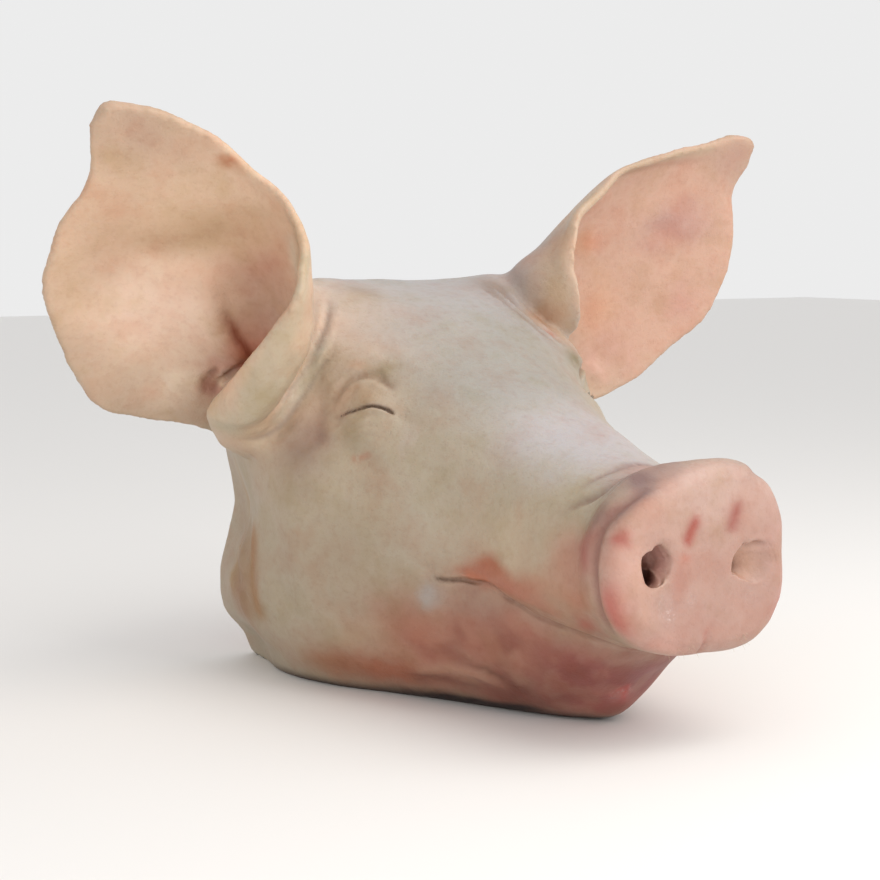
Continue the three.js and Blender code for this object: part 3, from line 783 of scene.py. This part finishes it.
# %% Paint the face
face_tones = [
    {"at": (0, -30, 186), "reach": (70, 60, 34), "tone": "#a29e9d", "strength": 1.5},
    {"at": (-34, 6, 172), "reach": (24, 30, 16), "tone": "#9f9a98", "strength": 1.1},
    {"at": (0, 50, 155), "reach": (42, 50, 26), "tone": "#9a958d", "strength": 1.4},
    {"at": (0, 108, 128), "reach": (34, 36, 18), "tone": "#aea8a8", "strength": 1.4},
    {"at": (-70, 17, 114), "reach": (14, 18, 18), "tone": "#a29681", "strength": 0.9},
    {"at": (-62, 52, 88), "reach": (20, 30, 24), "tone": "#ada18f", "strength": 0.9},
    {"at": (-78, 22, 66), "reach": (14, 20, 16), "tone": "#a3927c", "strength": 0.8},
    {"at": (-74, 36, 88), "reach": (12, 14, 12), "tone": "#a4937b", "strength": 0.8},
    {"at": (-54, 84, 86), "reach": (10, 16, 12), "tone": "#a89582", "strength": 0.8},
    {"at": (-49, 108, 82), "reach": (13, 30, 20), "tone": "#baa78e", "strength": 0.9},
    {"at": (-46, 142, 80), "reach": (8, 14, 22), "tone": "#b68a75", "strength": 0.9},
    {"at": (-43.5, 156, 80), "reach": (7, 9, 16), "tone": "#ad7768", "strength": 0.9},
    {"at": (-43.5, 155, 87), "reach": (6, 8, 9), "tone": "#a4655a", "strength": 1.0},
    {"at": (-42, 147, 63), "reach": (8, 10, 9), "tone": "#ae7761", "strength": 0.9},
    {"at": (-48, 122, 65), "reach": (9, 26, 7), "tone": "#b5866b", "strength": 0.9},
    {"at": (-36, 146, 51), "reach": (8, 9, 5), "tone": "#a66858", "strength": 1.0},
    {"at": (-74, -6, 143), "reach": (7, 7, 12), "tone": "#817c69", "strength": 0.9},
    {"at": (-86, -4, 106), "reach": (9, 10, 11), "tone": "#85786f", "strength": 0.7},
    {"at": (-84, -7, 119), "reach": (13, 13, 15), "tone": "#6f5f59", "strength": 1.2},
    {"at": (-80, -4, 122), "reach": (7, 8, 9), "tone": "#69565a", "strength": 0.8},
    {"at": (-55, 13, 151), "reach": (10, 10, 6), "tone": "#756c53", "strength": 0.9},
    {"at": (-64, 10, 141), "reach": (8, 9, 5), "tone": "#9a846b", "strength": 1.0},
    {"at": (-110, -20, 122), "reach": (14, 16, 10), "tone": "#aa9f88", "strength": 0.9},
    # Painted highlight: a pale streak where the light falls on the bulge under the eye.
    {"at": (-57, 38, 119), "reach": (4, 4, 10), "tone": "#b6a9a0", "strength": 0.7},
    {"at": (-62, 3, 153), "reach": (4, 4, 2.5), "tone": "#a87c68", "strength": 0.6},
    {"at": (-91, -62, 40), "reach": (10, 16, 34), "tone": "#967152", "strength": 1.0},
    {"at": (-91, -95, 60), "reach": (14, 14, 50), "tone": "#a0876f", "strength": 0.7},
    {"at": (38, -32, 187), "reach": (9, 12, 8), "tone": "#7b6e64", "strength": 0.9},
]
for layer in face_tones:
    both_sides(daub, layer["at"], layer["reach"], layer["tone"], strength=layer["strength"])
both_sides(streak, [(-93, -44, 80), (-92, -42, 50), (-87, -38, 26)], 6, "#976e40", strength=1.2)
both_sides(streak, [(-94, -76, 110), (-92, -74, 70), (-88, -70, 30)], 5, "#a3865f", strength=0.7)
# Painted shade: the crease over the lid and the edge of the socket are darkened along their lines.
both_sides(streak, upper_lid_crease, 1.6, "#786350", strength=0.7)
both_sides(streak, socket_edge, 3.0, "#8d7466", strength=0.4)
both_sides(daub, (-76, -4, 132), (4, 5, 8), "#876c62", strength=0.7)
both_sides(daub, (-73, 4, 123.5), (3, 4, 4.5), "#94704f", strength=0.5)
both_sides(daub, (-69, 2, 137), (4, 5, 5), "#a17a60", strength=0.6)
# Painted shade: the slit between the shut lids is darkened round about and painted near-black along its middle.
both_sides(streak, lid_slit, 2.2, "#846a55", strength=0.5, fade=(0.1, 0.1))
both_sides(streak, lid_slit, 0.8, "#2e2114", strength=1.3, fade=(0.3, 0.1))
both_sides(streak, lid_slit[2:], 1.2, "#31261a", strength=0.9, fade=(0.5, 0.3))
both_sides(streak, [(-74, 17, 110), (-71, 21.5, 112), (-68, 26, 114.5)], 1.4, "#a2654e", strength=0.6)
both_sides(daub, (-71, 6, 130.3), (2.5, 2.5, 1.6), "#6d4232", strength=0.6)
daub((57, 29, 132), (5, 6, 5), "#a49a86", strength=1.3)

# %% Paint the snout
disc_tones = [
    {"at": (0, 180, 80), "reach": (56, 14, 46), "tone": "#ad8b7e", "strength": 2.0},
    {"at": (0, 178, 110), "reach": (42, 12, 14), "tone": "#b99b8f", "strength": 1.3},
    {"at": (-44, 177, 76), "reach": (12, 12, 30), "tone": "#c1998a", "strength": 1.2},
    {"at": (44, 177, 76), "reach": (10, 12, 28), "tone": "#b18a80", "strength": 0.8},
    {"at": (0, 180, 56), "reach": (26, 8, 12), "tone": "#a9867a", "strength": 0.8},
    {"at": (-24, 177, 46), "reach": (14, 10, 8), "tone": "#c09386", "strength": 0.8},
    {"at": (-14, 177, 72), "reach": (6, 6, 8), "tone": "#a87567", "strength": 0.6},
    {"at": (-12, 177, 83), "reach": (5, 6, 3.5), "tone": "#b0705f", "strength": 0.6},
    {"at": (-28, 175, 106), "reach": (14, 8, 10), "tone": "#ac7f6b", "strength": 0.8},
    {"at": (-40, 173, 92), "reach": (3.2, 5, 4), "tone": "#a8594e", "strength": 0.9},
]
disc_marks = [
    {"line": [(-20, 171, 114), (-28, 170, 110.5), (-34, 169, 106), (-38.5, 168.5, 100), (-42, 168, 93)], "width": 3.6,
     "tone": "#8a6f69", "strength": 0.9},
    {"line": [(-10.5, 178, 85.5), (-8.5, 178, 89), (-6, 178, 94), (-1.5, 178, 101)], "width": 3.1, "tone": "#9c5246",
     "strength": 1.0},
    {"line": [(13.5, 178, 89), (14.5, 178, 95), (16.5, 178, 100), (20, 178, 106)], "width": 3.2, "tone": "#96584e",
     "strength": 0.9},
]
for layer in disc_tones:
    daub(layer["at"], layer["reach"], layer["tone"], strength=layer["strength"])
for mark in disc_marks:
    streak(mark["line"], mark["width"], mark["tone"], strength=mark["strength"], fade=(0.25, 0.35))
both_sides(daub, (-12, 152, 115), (24, 13, 9), "#8b716b", strength=1.0)
both_sides(daub, (0, 138, 117), (12, 8, 6), "#a88a83", strength=0.7)
both_sides(daub, (-40, 160, 100), (7, 8, 9), "#84655c", strength=0.9)
both_sides(daub, (-24, 163, 113), (14, 7, 6), "#7e6662", strength=1.1)
# Painted shade along the groove behind the disc.
both_sides(streak, behind_disc, 2.6, "#8a5f55", strength=0.7)
both_sides(streak, [(-47, 171, 80), (-46, 172, 70), (-43, 172.5, 60), (-38, 173.5, 53), (-32, 174, 48.5)],
           5.8, "#bb6a60", strength=0.85, fade=(0.4, 0.4))
# Painted shade in the ring creases behind the disc.
for ring in snout_rings:
    both_sides(streak, ring["line"], 1.7, "#7f625b", strength=0.6, fade=(0.3, 0.4))
streak(philtrum, 1.6, "#a86f64", strength=0.5)
# Inside the nostrils the skin turns warmer, then darker with depth; the dark deep part is painted shade.
for sign, warm, dark in ((-1, "#a0746a", "#623f36"), (1, "#b08a76", "#94705e")):
    inwards = nostril_middle[1] - 1.0 - clay.at[:, 1]
    away = np.hypot(clay.at[:, 0] * sign - nostril_middle[0], clay.at[:, 2] - 79)
    in_nostril = (away < 17) & (clay.at[:, 1] > 150)
    cover(np.clip(inwards / 3, 0, 0.9) * in_nostril, warm)
    cover(np.clip((inwards - 3) / 6, 0, 0.9) * in_nostril, dark)
print("painted the face and the snout")

# %% Paint the mouth and jaw
jaw_tones = [
    {"at": (-60, 52, 36), "reach": (22, 32, 17), "tone": "#a87860", "strength": 1.1},
    {"at": (-46, 98, 36), "reach": (24, 38, 19), "tone": "#a26f5b", "strength": 1.5},
    {"at": (-56, 57, 27), "reach": (12, 14, 9), "tone": "#a66b59", "strength": 0.8},
    {"at": (-22, 126, 24), "reach": (24, 22, 20), "tone": "#8b5147", "strength": 1.5},
    {"at": (0, 134, 25), "reach": (22, 18, 14), "tone": "#875250", "strength": 0.9},
    {"at": (-62, 30, 14), "reach": (30, 40, 9), "tone": "#a6684e", "strength": 1.1},
    {"at": (-74, 2, 14), "reach": (14, 18, 10), "tone": "#99684a", "strength": 0.9},
    {"at": (-40, 90, 8), "reach": (26, 50, 9), "tone": "#875040", "strength": 1.0},
    {"at": (-34, 98, 13), "reach": (14, 18, 8), "tone": "#784034", "strength": 0.9},
    {"at": (-12, 118, 9), "reach": (14, 14, 8), "tone": "#94524a", "strength": 0.9},
    {"at": (-73, 17, 30), "reach": (9, 16, 7), "tone": "#ad9276", "strength": 0.7},
    {"at": (-52, 62, 12), "reach": (10, 13, 5), "tone": "#c08a74", "strength": 0.9},
    {"at": (-52.5, 94, 68), "reach": (6, 13, 6.5), "tone": "#a56345", "strength": 1.2},
    {"at": (-55, 82, 68), "reach": (5, 8, 4.5), "tone": "#a76b50", "strength": 0.8},
    {"at": (-54, 88, 53), "reach": (8, 16, 7), "tone": "#957768", "strength": 0.8},
    {"at": (-50, 108, 64), "reach": (6, 12, 5), "tone": "#ab7059", "strength": 0.9},
]
# Along the jaw's bottom edge, where a near-black shadow is painted.
under_jaw_shadow = [(-62, 0, 0.5), (-55, 14, 1), (-50, 26, 1.5), (-42, 42, 2), (-34, 58, 3), (-28, 74, 3), (-22, 90, 3),
             (-17, 101, 3.5)]
jaw_mottling = [
    {"spacing": 15, "seed": 21, "tone": "#7c4639", "most": 0.5},
    {"spacing": 11, "seed": 33, "tone": "#ad8470", "most": 0.25},
    {"spacing": 7, "seed": 47, "tone": "#924d3f", "most": 0.2},
]
for layer in jaw_tones:
    both_sides(daub, layer["at"], layer["reach"], layer["tone"], strength=layer["strength"])
jaw_zone = np.clip(1.8 * clay.inside((0, 96, 22), (72, 62, 30)), 0, 1)
for patches in jaw_mottling:
    amount = np.clip(2.2 * unevenness(patches["spacing"], 1, patches["seed"]), 0, patches["most"])
    cover(jaw_zone * amount, patches["tone"])
both_sides(streak, upper_lip, 4.5, "#a86f59", strength=0.7)
both_sides(daub, (-60, 62, 53), (5, 6, 5), "#a59e98", strength=0.9)
both_sides(daub, (-52, 50, 24), (5, 8, 3), "#b36f60", strength=0.6)
# Painted shadow: a thin dark line where the lips meet, darkest towards the corners.
streak(whole_mouth, 1.2, "#8a5f4c", strength=0.4, fade=(0.05, 0.05))
both_sides(streak, mouth_line[:7], 0.9, "#5a4431", strength=1.0, fade=(0.1, 0.5))
both_sides(streak, [(-55, 80, 65), (-53, 88, 65), (-51.5, 97, 63)], 2.0, "#b56b4c", strength=0.7)
daub((-5.5, 129, 15.5), (4, 4, 3), "#a8382f", strength=0.9)
daub((-18, 131, 24), (8, 5, 5), "#7c4139", strength=0.6)
# Painted shade: the skin that lies on the table is darkened, less towards the neck, and a near-black streak paints the
# shadow along the jaw's bottom edge.
cover(np.clip((5 - clay.at[:, 2]) / 5, 0, 0.85) * np.clip((clay.at[:, 1] + 80) / 40, 0, 1), "#3c2219")
both_sides(streak, under_jaw_shadow, 3.8, "#2b1711", strength=1.2, fade=(0.5, 0.2))
# Painted shade in the jaw's furrows.
both_sides(streak, jaw_furrows[1], 3.6, "#6f4033", strength=0.45, fade=(0.3, 0.2))
both_sides(streak, jaw_furrows[0], 1.8, "#6c4133", strength=0.7, fade=(0.3, 0.2))
both_sides(streak, jaw_roll, 3.2, "#b18872", strength=0.8, fade=(0.3, 0.3))

# %% Paint the ears
ear_backs = "#b9a28c"
for side in (-1, 1):
    beyond = (clay.at[:, 0] * side - 98) / 14 + np.clip((clay.at[:, 2] - 185) / 12, 0, 4)
    cover(np.clip(beyond, 0, 1) * (clay.at[:, 2] > 112), ear_backs)
right_ear_tones = [
    {"at": (-140, -20, 200), "reach": (70, 50, 70), "tone": "#dcbca0", "strength": 2.5},
    {"at": (-160, -8, 264), "reach": (34, 22, 22), "tone": "#b79a85", "strength": 1.0},
    {"at": (-168, -30, 205), "reach": (14, 20, 26), "tone": "#c8a488", "strength": 0.8},
    {"at": (-133, -12, 217), "reach": (22, 22, 12), "tone": "#ccab8a", "strength": 0.9},
    {"at": (-140, -44, 174), "reach": (27, 27, 23), "tone": "#f2d3bc", "strength": 1.4},
    {"at": (-122, -25, 195), "reach": (9, 14, 8), "tone": "#dcb399", "strength": 0.7},
    {"at": (-112, 0, 216), "reach": (16, 18, 14), "tone": "#cda886", "strength": 0.8},
    {"at": (-104, -8, 196), "reach": (13, 18, 18), "tone": "#c7947a", "strength": 1.0},
    {"at": (-98, -20, 178), "reach": (13, 18, 18), "tone": "#c8a088", "strength": 1.1},
    {"at": (-98, -34, 160), "reach": (11, 16, 12), "tone": "#c07a5f", "strength": 1.2},
    # The channel's red, painted darker as shade where the cup lies deepest behind the rim.
    {"at": (-97, -44, 153), "reach": (7, 10, 7), "tone": "#b05f47", "strength": 1.0},
    {"at": (-104, -52, 152), "reach": (8, 9, 9), "tone": "#c99280", "strength": 0.9},
    {"at": (-103, -62, 142), "reach": (7, 8, 9), "tone": "#bd7d68", "strength": 1.0},
    {"at": (-124, -62, 142), "reach": (16, 16, 16), "tone": "#f2dcc4", "strength": 1.0},
    {"at": (-150, -48, 150), "reach": (20, 18, 18), "tone": "#f0d4ba", "strength": 0.8},
    {"at": (-129, 10, 244), "reach": (5, 5, 3), "tone": "#b8683a", "strength": 0.9},
]
for layer in right_ear_tones:
    daub(layer["at"], layer["reach"], layer["tone"], strength=layer["strength"], facing=OUT_OF_RIGHT_EAR)
streak(lobe_edge[:5], 2.2, "#8c442e", strength=0.85, fade=(0.02, 0.6))
# The canal's folds: red, and darkened along them as painted shade.
for fold in canal_folds:
    streak(fold, 2.0, "#8c4c38", strength=0.6)
daub((-99, -57.5, 142.5), (4, 4, 2.4), "#f4d6b4", strength=0.9)
streak([(-171, -35, 208), (-158, -30, 209), (-144, -25, 210), (-124, -12, 213), (-110, 4, 215)], 7, "#bb9878",
       strength=0.8, fade=(0.4, 0.3))
outer_band = [(-103, 36, 210), (-108, 35, 190), (-113, 31, 172), (-116, 21, 158), (-118, 9, 144), (-119, -3, 134)]
streak(outer_band, 7, "#c4b299", strength=1.3, fade=(0.1, 0.1))
streak([(-104, 18, 214), (-100, 17, 200), (-104, 25, 186)], 4, "#d2bea6", strength=0.8)
streak([(-100, 24, 166), (-106, 16, 152), (-110, 8, 142), (-113, -2, 133), (-112, -12, 126)], 10, "#bfb098", strength=1.1)
streak([(-64, -18, 167), (-70, -16, 158), (-80, -13, 146), (-88, -16, 134), (-98, -20, 124)], 4.5, "#bdb39f", strength=0.8)
# Painted shade along the folds at the right ear's root.
for fold in right_ear_folds[:2]:
    streak(fold["line"], 1.4, "#85746a", strength=0.45)
daub((-118, -18, 127), (12, 18, 12), "#b8ac94", strength=0.9)
left_ear_tones = [
    {"at": (140, -38, 205), "reach": (62, 30, 60), "tone": "#c59f8b", "strength": 2.5},
    {"at": (184, -20, 254), "reach": (14, 14, 16), "tone": "#b39080", "strength": 0.9},
    {"at": (118, -50, 172), "reach": (14, 14, 18), "tone": "#cb9d80", "strength": 0.8},
    {"at": (158, -34, 218), "reach": (22, 14, 10), "tone": "#b8928a", "strength": 0.7},
    {"at": (101, -37, 208), "reach": (9, 14, 8), "tone": "#c98b6d", "strength": 0.8},
    {"at": (128, -52, 150), "reach": (16, 14, 14), "tone": "#c39788", "strength": 0.7},
    {"at": (170, -40, 176), "reach": (10, 12, 10), "tone": "#c08a80", "strength": 0.5},
]
ear_veins = [
    [(132, -33, 214), (146, -36, 217), (162, -36, 214), (178, -36, 210)],
    [(128, -36, 204), (145, -38, 206), (160, -38, 202)],
    [(150, -30, 234), (162, -30, 230), (174, -30, 226)],
]
for layer in left_ear_tones:
    daub(layer["at"], layer["reach"], layer["tone"], strength=layer["strength"], facing=OUT_OF_LEFT_EAR)
for vein in ear_veins:
    streak(vein, 4.0, "#b0857b", strength=0.35, fade=(0.4, 0.4))
left_band_tones = [
    {"at": (58, -5, 180), "reach": (13, 13, 22), "tone": "#bea58c"},
    {"at": (62, -3, 207), "reach": (12, 13, 18), "tone": "#bea58c"},
    {"at": (76, -3, 228), "reach": (14, 12, 12), "tone": "#bba38c"},
]
for layer in left_band_tones:
    daub(layer["at"], layer["reach"], layer["tone"], strength=1.1, facing=OUT_OF_LEFT_EAR)
streak([(52, -14, 196), (50, -16, 186), (48, -14, 177)], 5, "#bba594", strength=0.8)
# Painted highlight along the rim of the left ear's rolled band.
streak([(70, -2, 222), (64, 0, 208), (61, 0, 198), (64, 2, 188), (66, 2, 180), (67, -1, 170)], 2.5, "#cbb29c", strength=0.8)
left_rim = [(80, -5, 229), (99, -7, 240), (115, -11, 248), (135, -14, 252), (155, -17, 255), (176, -19, 259)]
streak(left_rim, 4, "#b39b84", strength=0.9, fade=(0.1, 0.1))
# Painted shadow: a thin darker line just below the left ear's upper rim.
streak([(side, forward - 2, up - 6) for side, forward, up in left_rim[1:]], 2.2, "#a8806c", strength=0.5)
daub((51, -9, 170), (9, 8, 8), "#a67c63", strength=0.8)
streak([(44, -2, 169), (48, 3, 166), (53, 5, 163)], 2.0, "#a05c4a", strength=0.6)
streak([(113, -55, 148), (118, -55, 144), (123, -54, 140), (127, -52, 133)], 3.5, "#d3ab9a", strength=0.8)
# Painted shade along the folds at the left ear's root.
for fold in left_ear_folds[:2]:
    streak(fold["line"], 1.6, "#83695b", strength=0.45)

# %% [markdown]
# Last come the things that follow the form. Hollows get a warmer, darker tone as painted shade, and ridges low on
# the head a paler one as painted highlight. Spit and water shine on the lower half of the disc and in the lips.

# %% Follow the form
bends = hollows()
# Painted shade in the hollows.
cover(np.clip(0.3 * bends, 0, 0.25), "#86604f")
# Painted highlight on ridges low on the head.
cover(np.clip(-0.2 * bends - 0.03, 0, 0.18) * (clay.at[:, 2] < 150), "#d9c8b8")
ear_rims = np.clip((np.abs(clay.at[:, 0]) - 98) / 8, 0, 1) * np.clip(-0.8 * bends - 0.1, 0, 0.5)
cover(ear_rims, "#a9937c")
shiny = [
    {"at": (0, 179, 72), "reach": (46, 10, 30), "wet": 0.2},
    {"at": (-20.5, 178, 62), "reach": (4.5, 6, 8), "wet": 0.9},
    {"at": (-7.5, 177, 65), "reach": (3.5, 6, 4), "wet": 0.6},
    {"at": (25, 178, 62), "reach": (5, 6, 6), "wet": 0.65},
    {"at": (-6, 129, 16), "reach": (8, 6, 6), "wet": 0.8},
    {"at": (-52, 92, 61), "reach": (6, 24, 5), "wet": 0.3},
]
for spot_of_wet in shiny:
    wetness += spot_of_wet["wet"] * clay.inside(spot_of_wet["at"], spot_of_wet["reach"])
wetness = np.clip(wetness, 0, 1)

# %% [markdown]
# Behind the ears the head was cut off. The cut shows, from outside in: the rind, a layer of white fat that is thicker
# over the jowls, and red lean with seams of fat, round the neck bone. Each point keeps how far it lies from the rind,
# and the material draws the layers from that.

# %% Neck cut
cut_forward = -95
cut_points = (clay.at[:, 1] < cut_forward) & (clay.out[:, 1] < -0.75)
edge_links = cut_points[clay.first] != cut_points[clay.second]
edge_points = np.unique(np.concatenate([clay.first[edge_links], clay.second[edge_links]]))
from_rind = np.zeros(len(clay.at))
for number in np.flatnonzero(cut_points):
    from_rind[number] = math.sqrt(((clay.at[edge_points] - clay.at[number]) ** 2).sum(1).min())
meat_swell = unevenness(16, 1.2, 11) * np.clip((from_rind - 10) / 8, 0, 1)
clay.at[:, 1] -= np.clip(meat_swell, -0.8, 0.8)
clay.face_out()
print(cut_points.sum(), "points on the neck cut")

# %% Put paint and layers on the mesh
mesh = skin.data
tone = mesh.attributes.new("skin_tone", "FLOAT_COLOR", "POINT")
tone.data.foreach_set("color", np.hstack([paint, np.ones((len(paint), 1))]).ravel())
for name, values in (("wetness", wetness), ("from_rind", from_rind)):
    mesh.attributes.new(name, "FLOAT", "POINT").data.foreach_set("value", values)

# %% [markdown]
# Skin lets light in a little, which takes the hardness off its folds and makes thin ears glow. Its colour wavers in
# clouds of a few centimetres and faint specks of a few millimetres. Pores are drawn about 1.5 mm apart, coarser than
# real, since finer ones would be lost at this distance. Where it is wet, a smooth film with small ripples lies over it
# and mirrors the softboxes in broken glints.

# %% Skin material
cloud_size = 0.024
speck_size = 0.0035
pore_spacing = 0.0016
pore_depth = 0.0002
ripple_size = 0.0028
ripple_height = 0.0013
dry_roughness = 0.5
wet_roughness = 0.26
film_roughness = 0.08

pig_skin, tree = new_material("pig_skin")
place = add_node(tree, "ShaderNodeTexCoord").outputs["Object"]
painted = add_node(tree, "ShaderNodeAttribute", {"attribute_name": "skin_tone"}).outputs["Color"]
wet = add_node(tree, "ShaderNodeAttribute", {"attribute_name": "wetness"}).outputs["Fac"]
clouds = add_node(tree, "ShaderNodeTexNoise", Vector=place, Scale=1 / cloud_size, Detail=4.0, Roughness=0.6).outputs["Fac"]
specks = add_node(tree, "ShaderNodeTexNoise", Vector=place, Scale=1 / speck_size, Detail=3.0, Roughness=0.6).outputs["Fac"]
pores = add_node(tree, "ShaderNodeTexVoronoi", Vector=place, Scale=1 / pore_spacing).outputs["Distance"]


def between(value, low, high, start, end):
    """Stretches a value's range to another range."""
    return add_node(tree, "ShaderNodeMapRange", _0=value, _1=low, _2=high, _3=start, _4=end).outputs[0]


def tinted(under, share, colour):
    """Multiplies a colour by a tint, by a share."""
    return add_node(tree, "ShaderNodeMix", {"data_type": "RGBA", "blend_type": "MULTIPLY"},
                    _0=share, _6=under, _7=linear(colour)).outputs[2]


warmed = tinted(painted, between(clouds, 0.5, 0.75, 0.0, 0.7), "#f4dcd2")
sallowed = tinted(warmed, between(clouds, 0.5, 0.28, 0.0, 0.7), "#ede8d6")
speckled = tinted(sallowed, between(specks, 0.5, 0.75, 0.0, 0.3), "#e3cfc6")
pored = tinted(speckled, between(pores, 0.25, 0.05, 0.0, 0.12), "#c8ab9c")
relief = add_node(tree, "ShaderNodeMath", {"operation": "ADD"}, _0=between(pores, 0.0, 0.45, 0.0, 0.7),
                  _1=between(specks, 0.3, 0.7, 0.0, 1.0)).outputs[0]
bumps = add_node(tree, "ShaderNodeBump", Strength=0.5, Distance=pore_depth, Height=relief).outputs[0]
ripples = add_node(tree, "ShaderNodeTexNoise", Vector=place, Scale=1 / ripple_size, Detail=1.0).outputs["Fac"]
film = add_node(tree, "ShaderNodeBump", Strength=1.0, Distance=ripple_height, Height=ripples).outputs[0]
shader = add_node(
    tree, "ShaderNodeBsdfPrincipled", {"subsurface_method": "RANDOM_WALK"}, Base_Color=pored, Normal=bumps,
    Roughness=between(wet, 0.05, 0.8, dry_roughness, wet_roughness), Specular_IOR_Level=0.42,
    Subsurface_Weight=0.18, Subsurface_Radius=(1.0, 0.5, 0.3), Subsurface_Scale=0.003,
    Coat_Weight=between(wet, 0.35, 0.8, 0.0, 1.0), Coat_Roughness=film_roughness, Coat_Normal=film,
)
add_node(tree, "ShaderNodeOutputMaterial", Surface=shader.outputs[0])

# %% Cut meat material
rind_thickness = 2.4
fat_thickness = 9
seam_spacing = 0.024
bone_middle = (0, -cut_forward * MILLIMETRE, 0.105)
bone_radius = 0.021

cut_pork, tree = new_material("cut_pork")
place = add_node(tree, "ShaderNodeTexCoord").outputs["Object"]
depth = add_node(tree, "ShaderNodeAttribute", {"attribute_name": "from_rind"}).outputs["Fac"]
waver = add_node(tree, "ShaderNodeTexNoise", Vector=place, Scale=30.0, Detail=3.0)
fibres = add_node(tree, "ShaderNodeTexNoise", Vector=place, Scale=420.0, Detail=3.0).outputs["Fac"]
bent_place = add_node(tree, "ShaderNodeMix", {"data_type": "VECTOR"}, _0=0.12, _4=place, _5=waver.outputs["Color"]).outputs[1]
seams = add_node(tree, "ShaderNodeTexVoronoi", {"feature": "DISTANCE_TO_EDGE"}, Vector=bent_place,
                 Scale=1 / seam_spacing).outputs["Distance"]
wavy_depth = add_node(tree, "ShaderNodeMath", {"operation": "ADD"}, _0=depth,
                      _1=between(waver.outputs["Fac"], 0.3, 0.7, -5.0, 5.0)).outputs[0]
to_bone = add_node(tree, "ShaderNodeVectorMath", {"operation": "DISTANCE"}, _0=place, _1=bone_middle).outputs["Value"]


def layered(under, share, colour):
    """Lays a colour over another, by a share."""
    return add_node(tree, "ShaderNodeMix", {"data_type": "RGBA"}, _0=share, _6=under, _7=linear(colour)).outputs[2]


lean = layered(linear("#9c4a40"), between(fibres, 0.35, 0.65, 0.0, 1.0), "#b96255")
marbled = layered(lean, between(seams, 0.05, 0.02, 0.0, 0.9), "#e6d3c2")
fatted = layered(marbled, between(wavy_depth, fat_thickness + 1, fat_thickness - 1, 0.0, 1.0), "#e9dac6")
rinded = layered(fatted, between(depth, rind_thickness + 0.6, rind_thickness - 0.6, 0.0, 1.0), "#c4a68a")
boned = layered(rinded, between(to_bone, bone_radius + 0.001, bone_radius - 0.001, 0.0, 1.0), "#d8c6a9")
marrowed = layered(boned, between(to_bone, bone_radius * 0.72, bone_radius * 0.62, 0.0, 0.8), "#a85a50")
cored = layered(marrowed, between(to_bone, bone_radius * 0.36, bone_radius * 0.3, 0.0, 1.0), "#dcc9bd")
bumps = add_node(tree, "ShaderNodeBump", Strength=0.6, Distance=0.0005, Height=fibres).outputs[0]
shader = add_node(tree, "ShaderNodeBsdfPrincipled", Base_Color=cored, Normal=bumps, Roughness=0.34,
                  Subsurface_Weight=0.15, Subsurface_Radius=(1.0, 0.35, 0.2), Subsurface_Scale=0.003)
add_node(tree, "ShaderNodeOutputMaterial", Surface=shader.outputs[0])

# %% Give the skin its materials
mesh.polygons.foreach_set("use_smooth", np.ones(len(mesh.polygons), bool))
mesh.materials.clear()
for material in (pig_skin, cut_pork):
    mesh.materials.append(material)
corners = np.empty(len(mesh.polygons) * 3, int)
mesh.polygons.foreach_get("vertices", corners)
mesh.polygons.foreach_set("material_index", cut_points[corners.reshape(-1, 3)].all(1).astype(int))
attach(skin, "root")
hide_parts("head")
print("skin has", len(skin.data.polygons), "triangles")

# %% [markdown]
# Shaving leaves short lashes and a few bristles under the disc. Each is a thin tapering cone that stands in the skin.
# Real ones bend, but at this length the bend is thinner than a pixel.

# %% Lashes and bristles
def hair(shape, root, direction, length, thickness):
    """Adds one hair, its root just under the skin."""
    way = Vector(direction * (1, -1, 1)).normalized()
    base = spot(*root) - way * 0.4 * MILLIMETRE
    turn = way.to_track_quat("Z", "Y").to_matrix().to_4x4()
    bmesh.ops.create_cone(
        shape, cap_ends=True, segments=4, radius1=thickness * MILLIMETRE / 2, radius2=thickness * MILLIMETRE / 8,
        depth=length * MILLIMETRE, matrix=Matrix.Translation(base + way * length * MILLIMETRE / 2) @ turn,
    )


def hair_piece(name, hairs, colour):
    """One object of many hairs with its own material."""
    shape = bmesh.new()
    for one in hairs:
        hair(shape, *one)
    mesh = bpy.data.meshes.new(name)
    shape.to_mesh(mesh)
    shape.free()
    piece = bpy.data.objects.new(name, mesh)
    bpy.context.scene.collection.objects.link(piece)
    material, tree = new_material(name + "_horn")
    horn = add_node(tree, "ShaderNodeBsdfPrincipled", Base_Color=linear(colour), Roughness=0.45)
    add_node(tree, "ShaderNodeOutputMaterial", Surface=horn.outputs[0])
    mesh.materials.append(material)
    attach(piece, "root")
    print(name, "has", len(hairs), "hairs")


chance = random.Random(7)
lash_count = 34
lashes = []
for line in (lid_slit, mirrored(lid_slit[:-2])):
    laid, facing = clay.lay(line)
    for number in range(lash_count):
        step = int((0.1 + 0.8 * number / lash_count) * (len(laid) - 1))
        lean_of_lash = np.array([chance.uniform(-0.6, 0.3), chance.uniform(-0.2, 0.4), chance.uniform(-1.4, 0.9)])
        lashes.append((laid[step], facing[step] + lean_of_lash, chance.uniform(1.0, 2.4), 0.22))
hair_piece("lashes", lashes, "#382a1c")

bristle_zones = [
    {"at": (-12, 177, 43), "reach": (9, 6, 5), "count": 12},
    {"at": (20, 177, 46), "reach": (8, 6, 5), "count": 10},
]
bristles = []
for zone in bristle_zones:
    candidates = np.flatnonzero(clay.inside(zone["at"], zone["reach"]) > 0.4)
    for number in chance.sample(list(candidates), zone["count"]):
        lean_of_bristle = np.array([chance.uniform(-0.5, 0.5), chance.uniform(0.0, 0.6), chance.uniform(-0.7, 0.0)])
        bristles.append((clay.at[number], clay.out[number] + lean_of_bristle, chance.uniform(2.0, 4.0), 0.15))
hair_piece("bristles", bristles, "#bba98f")
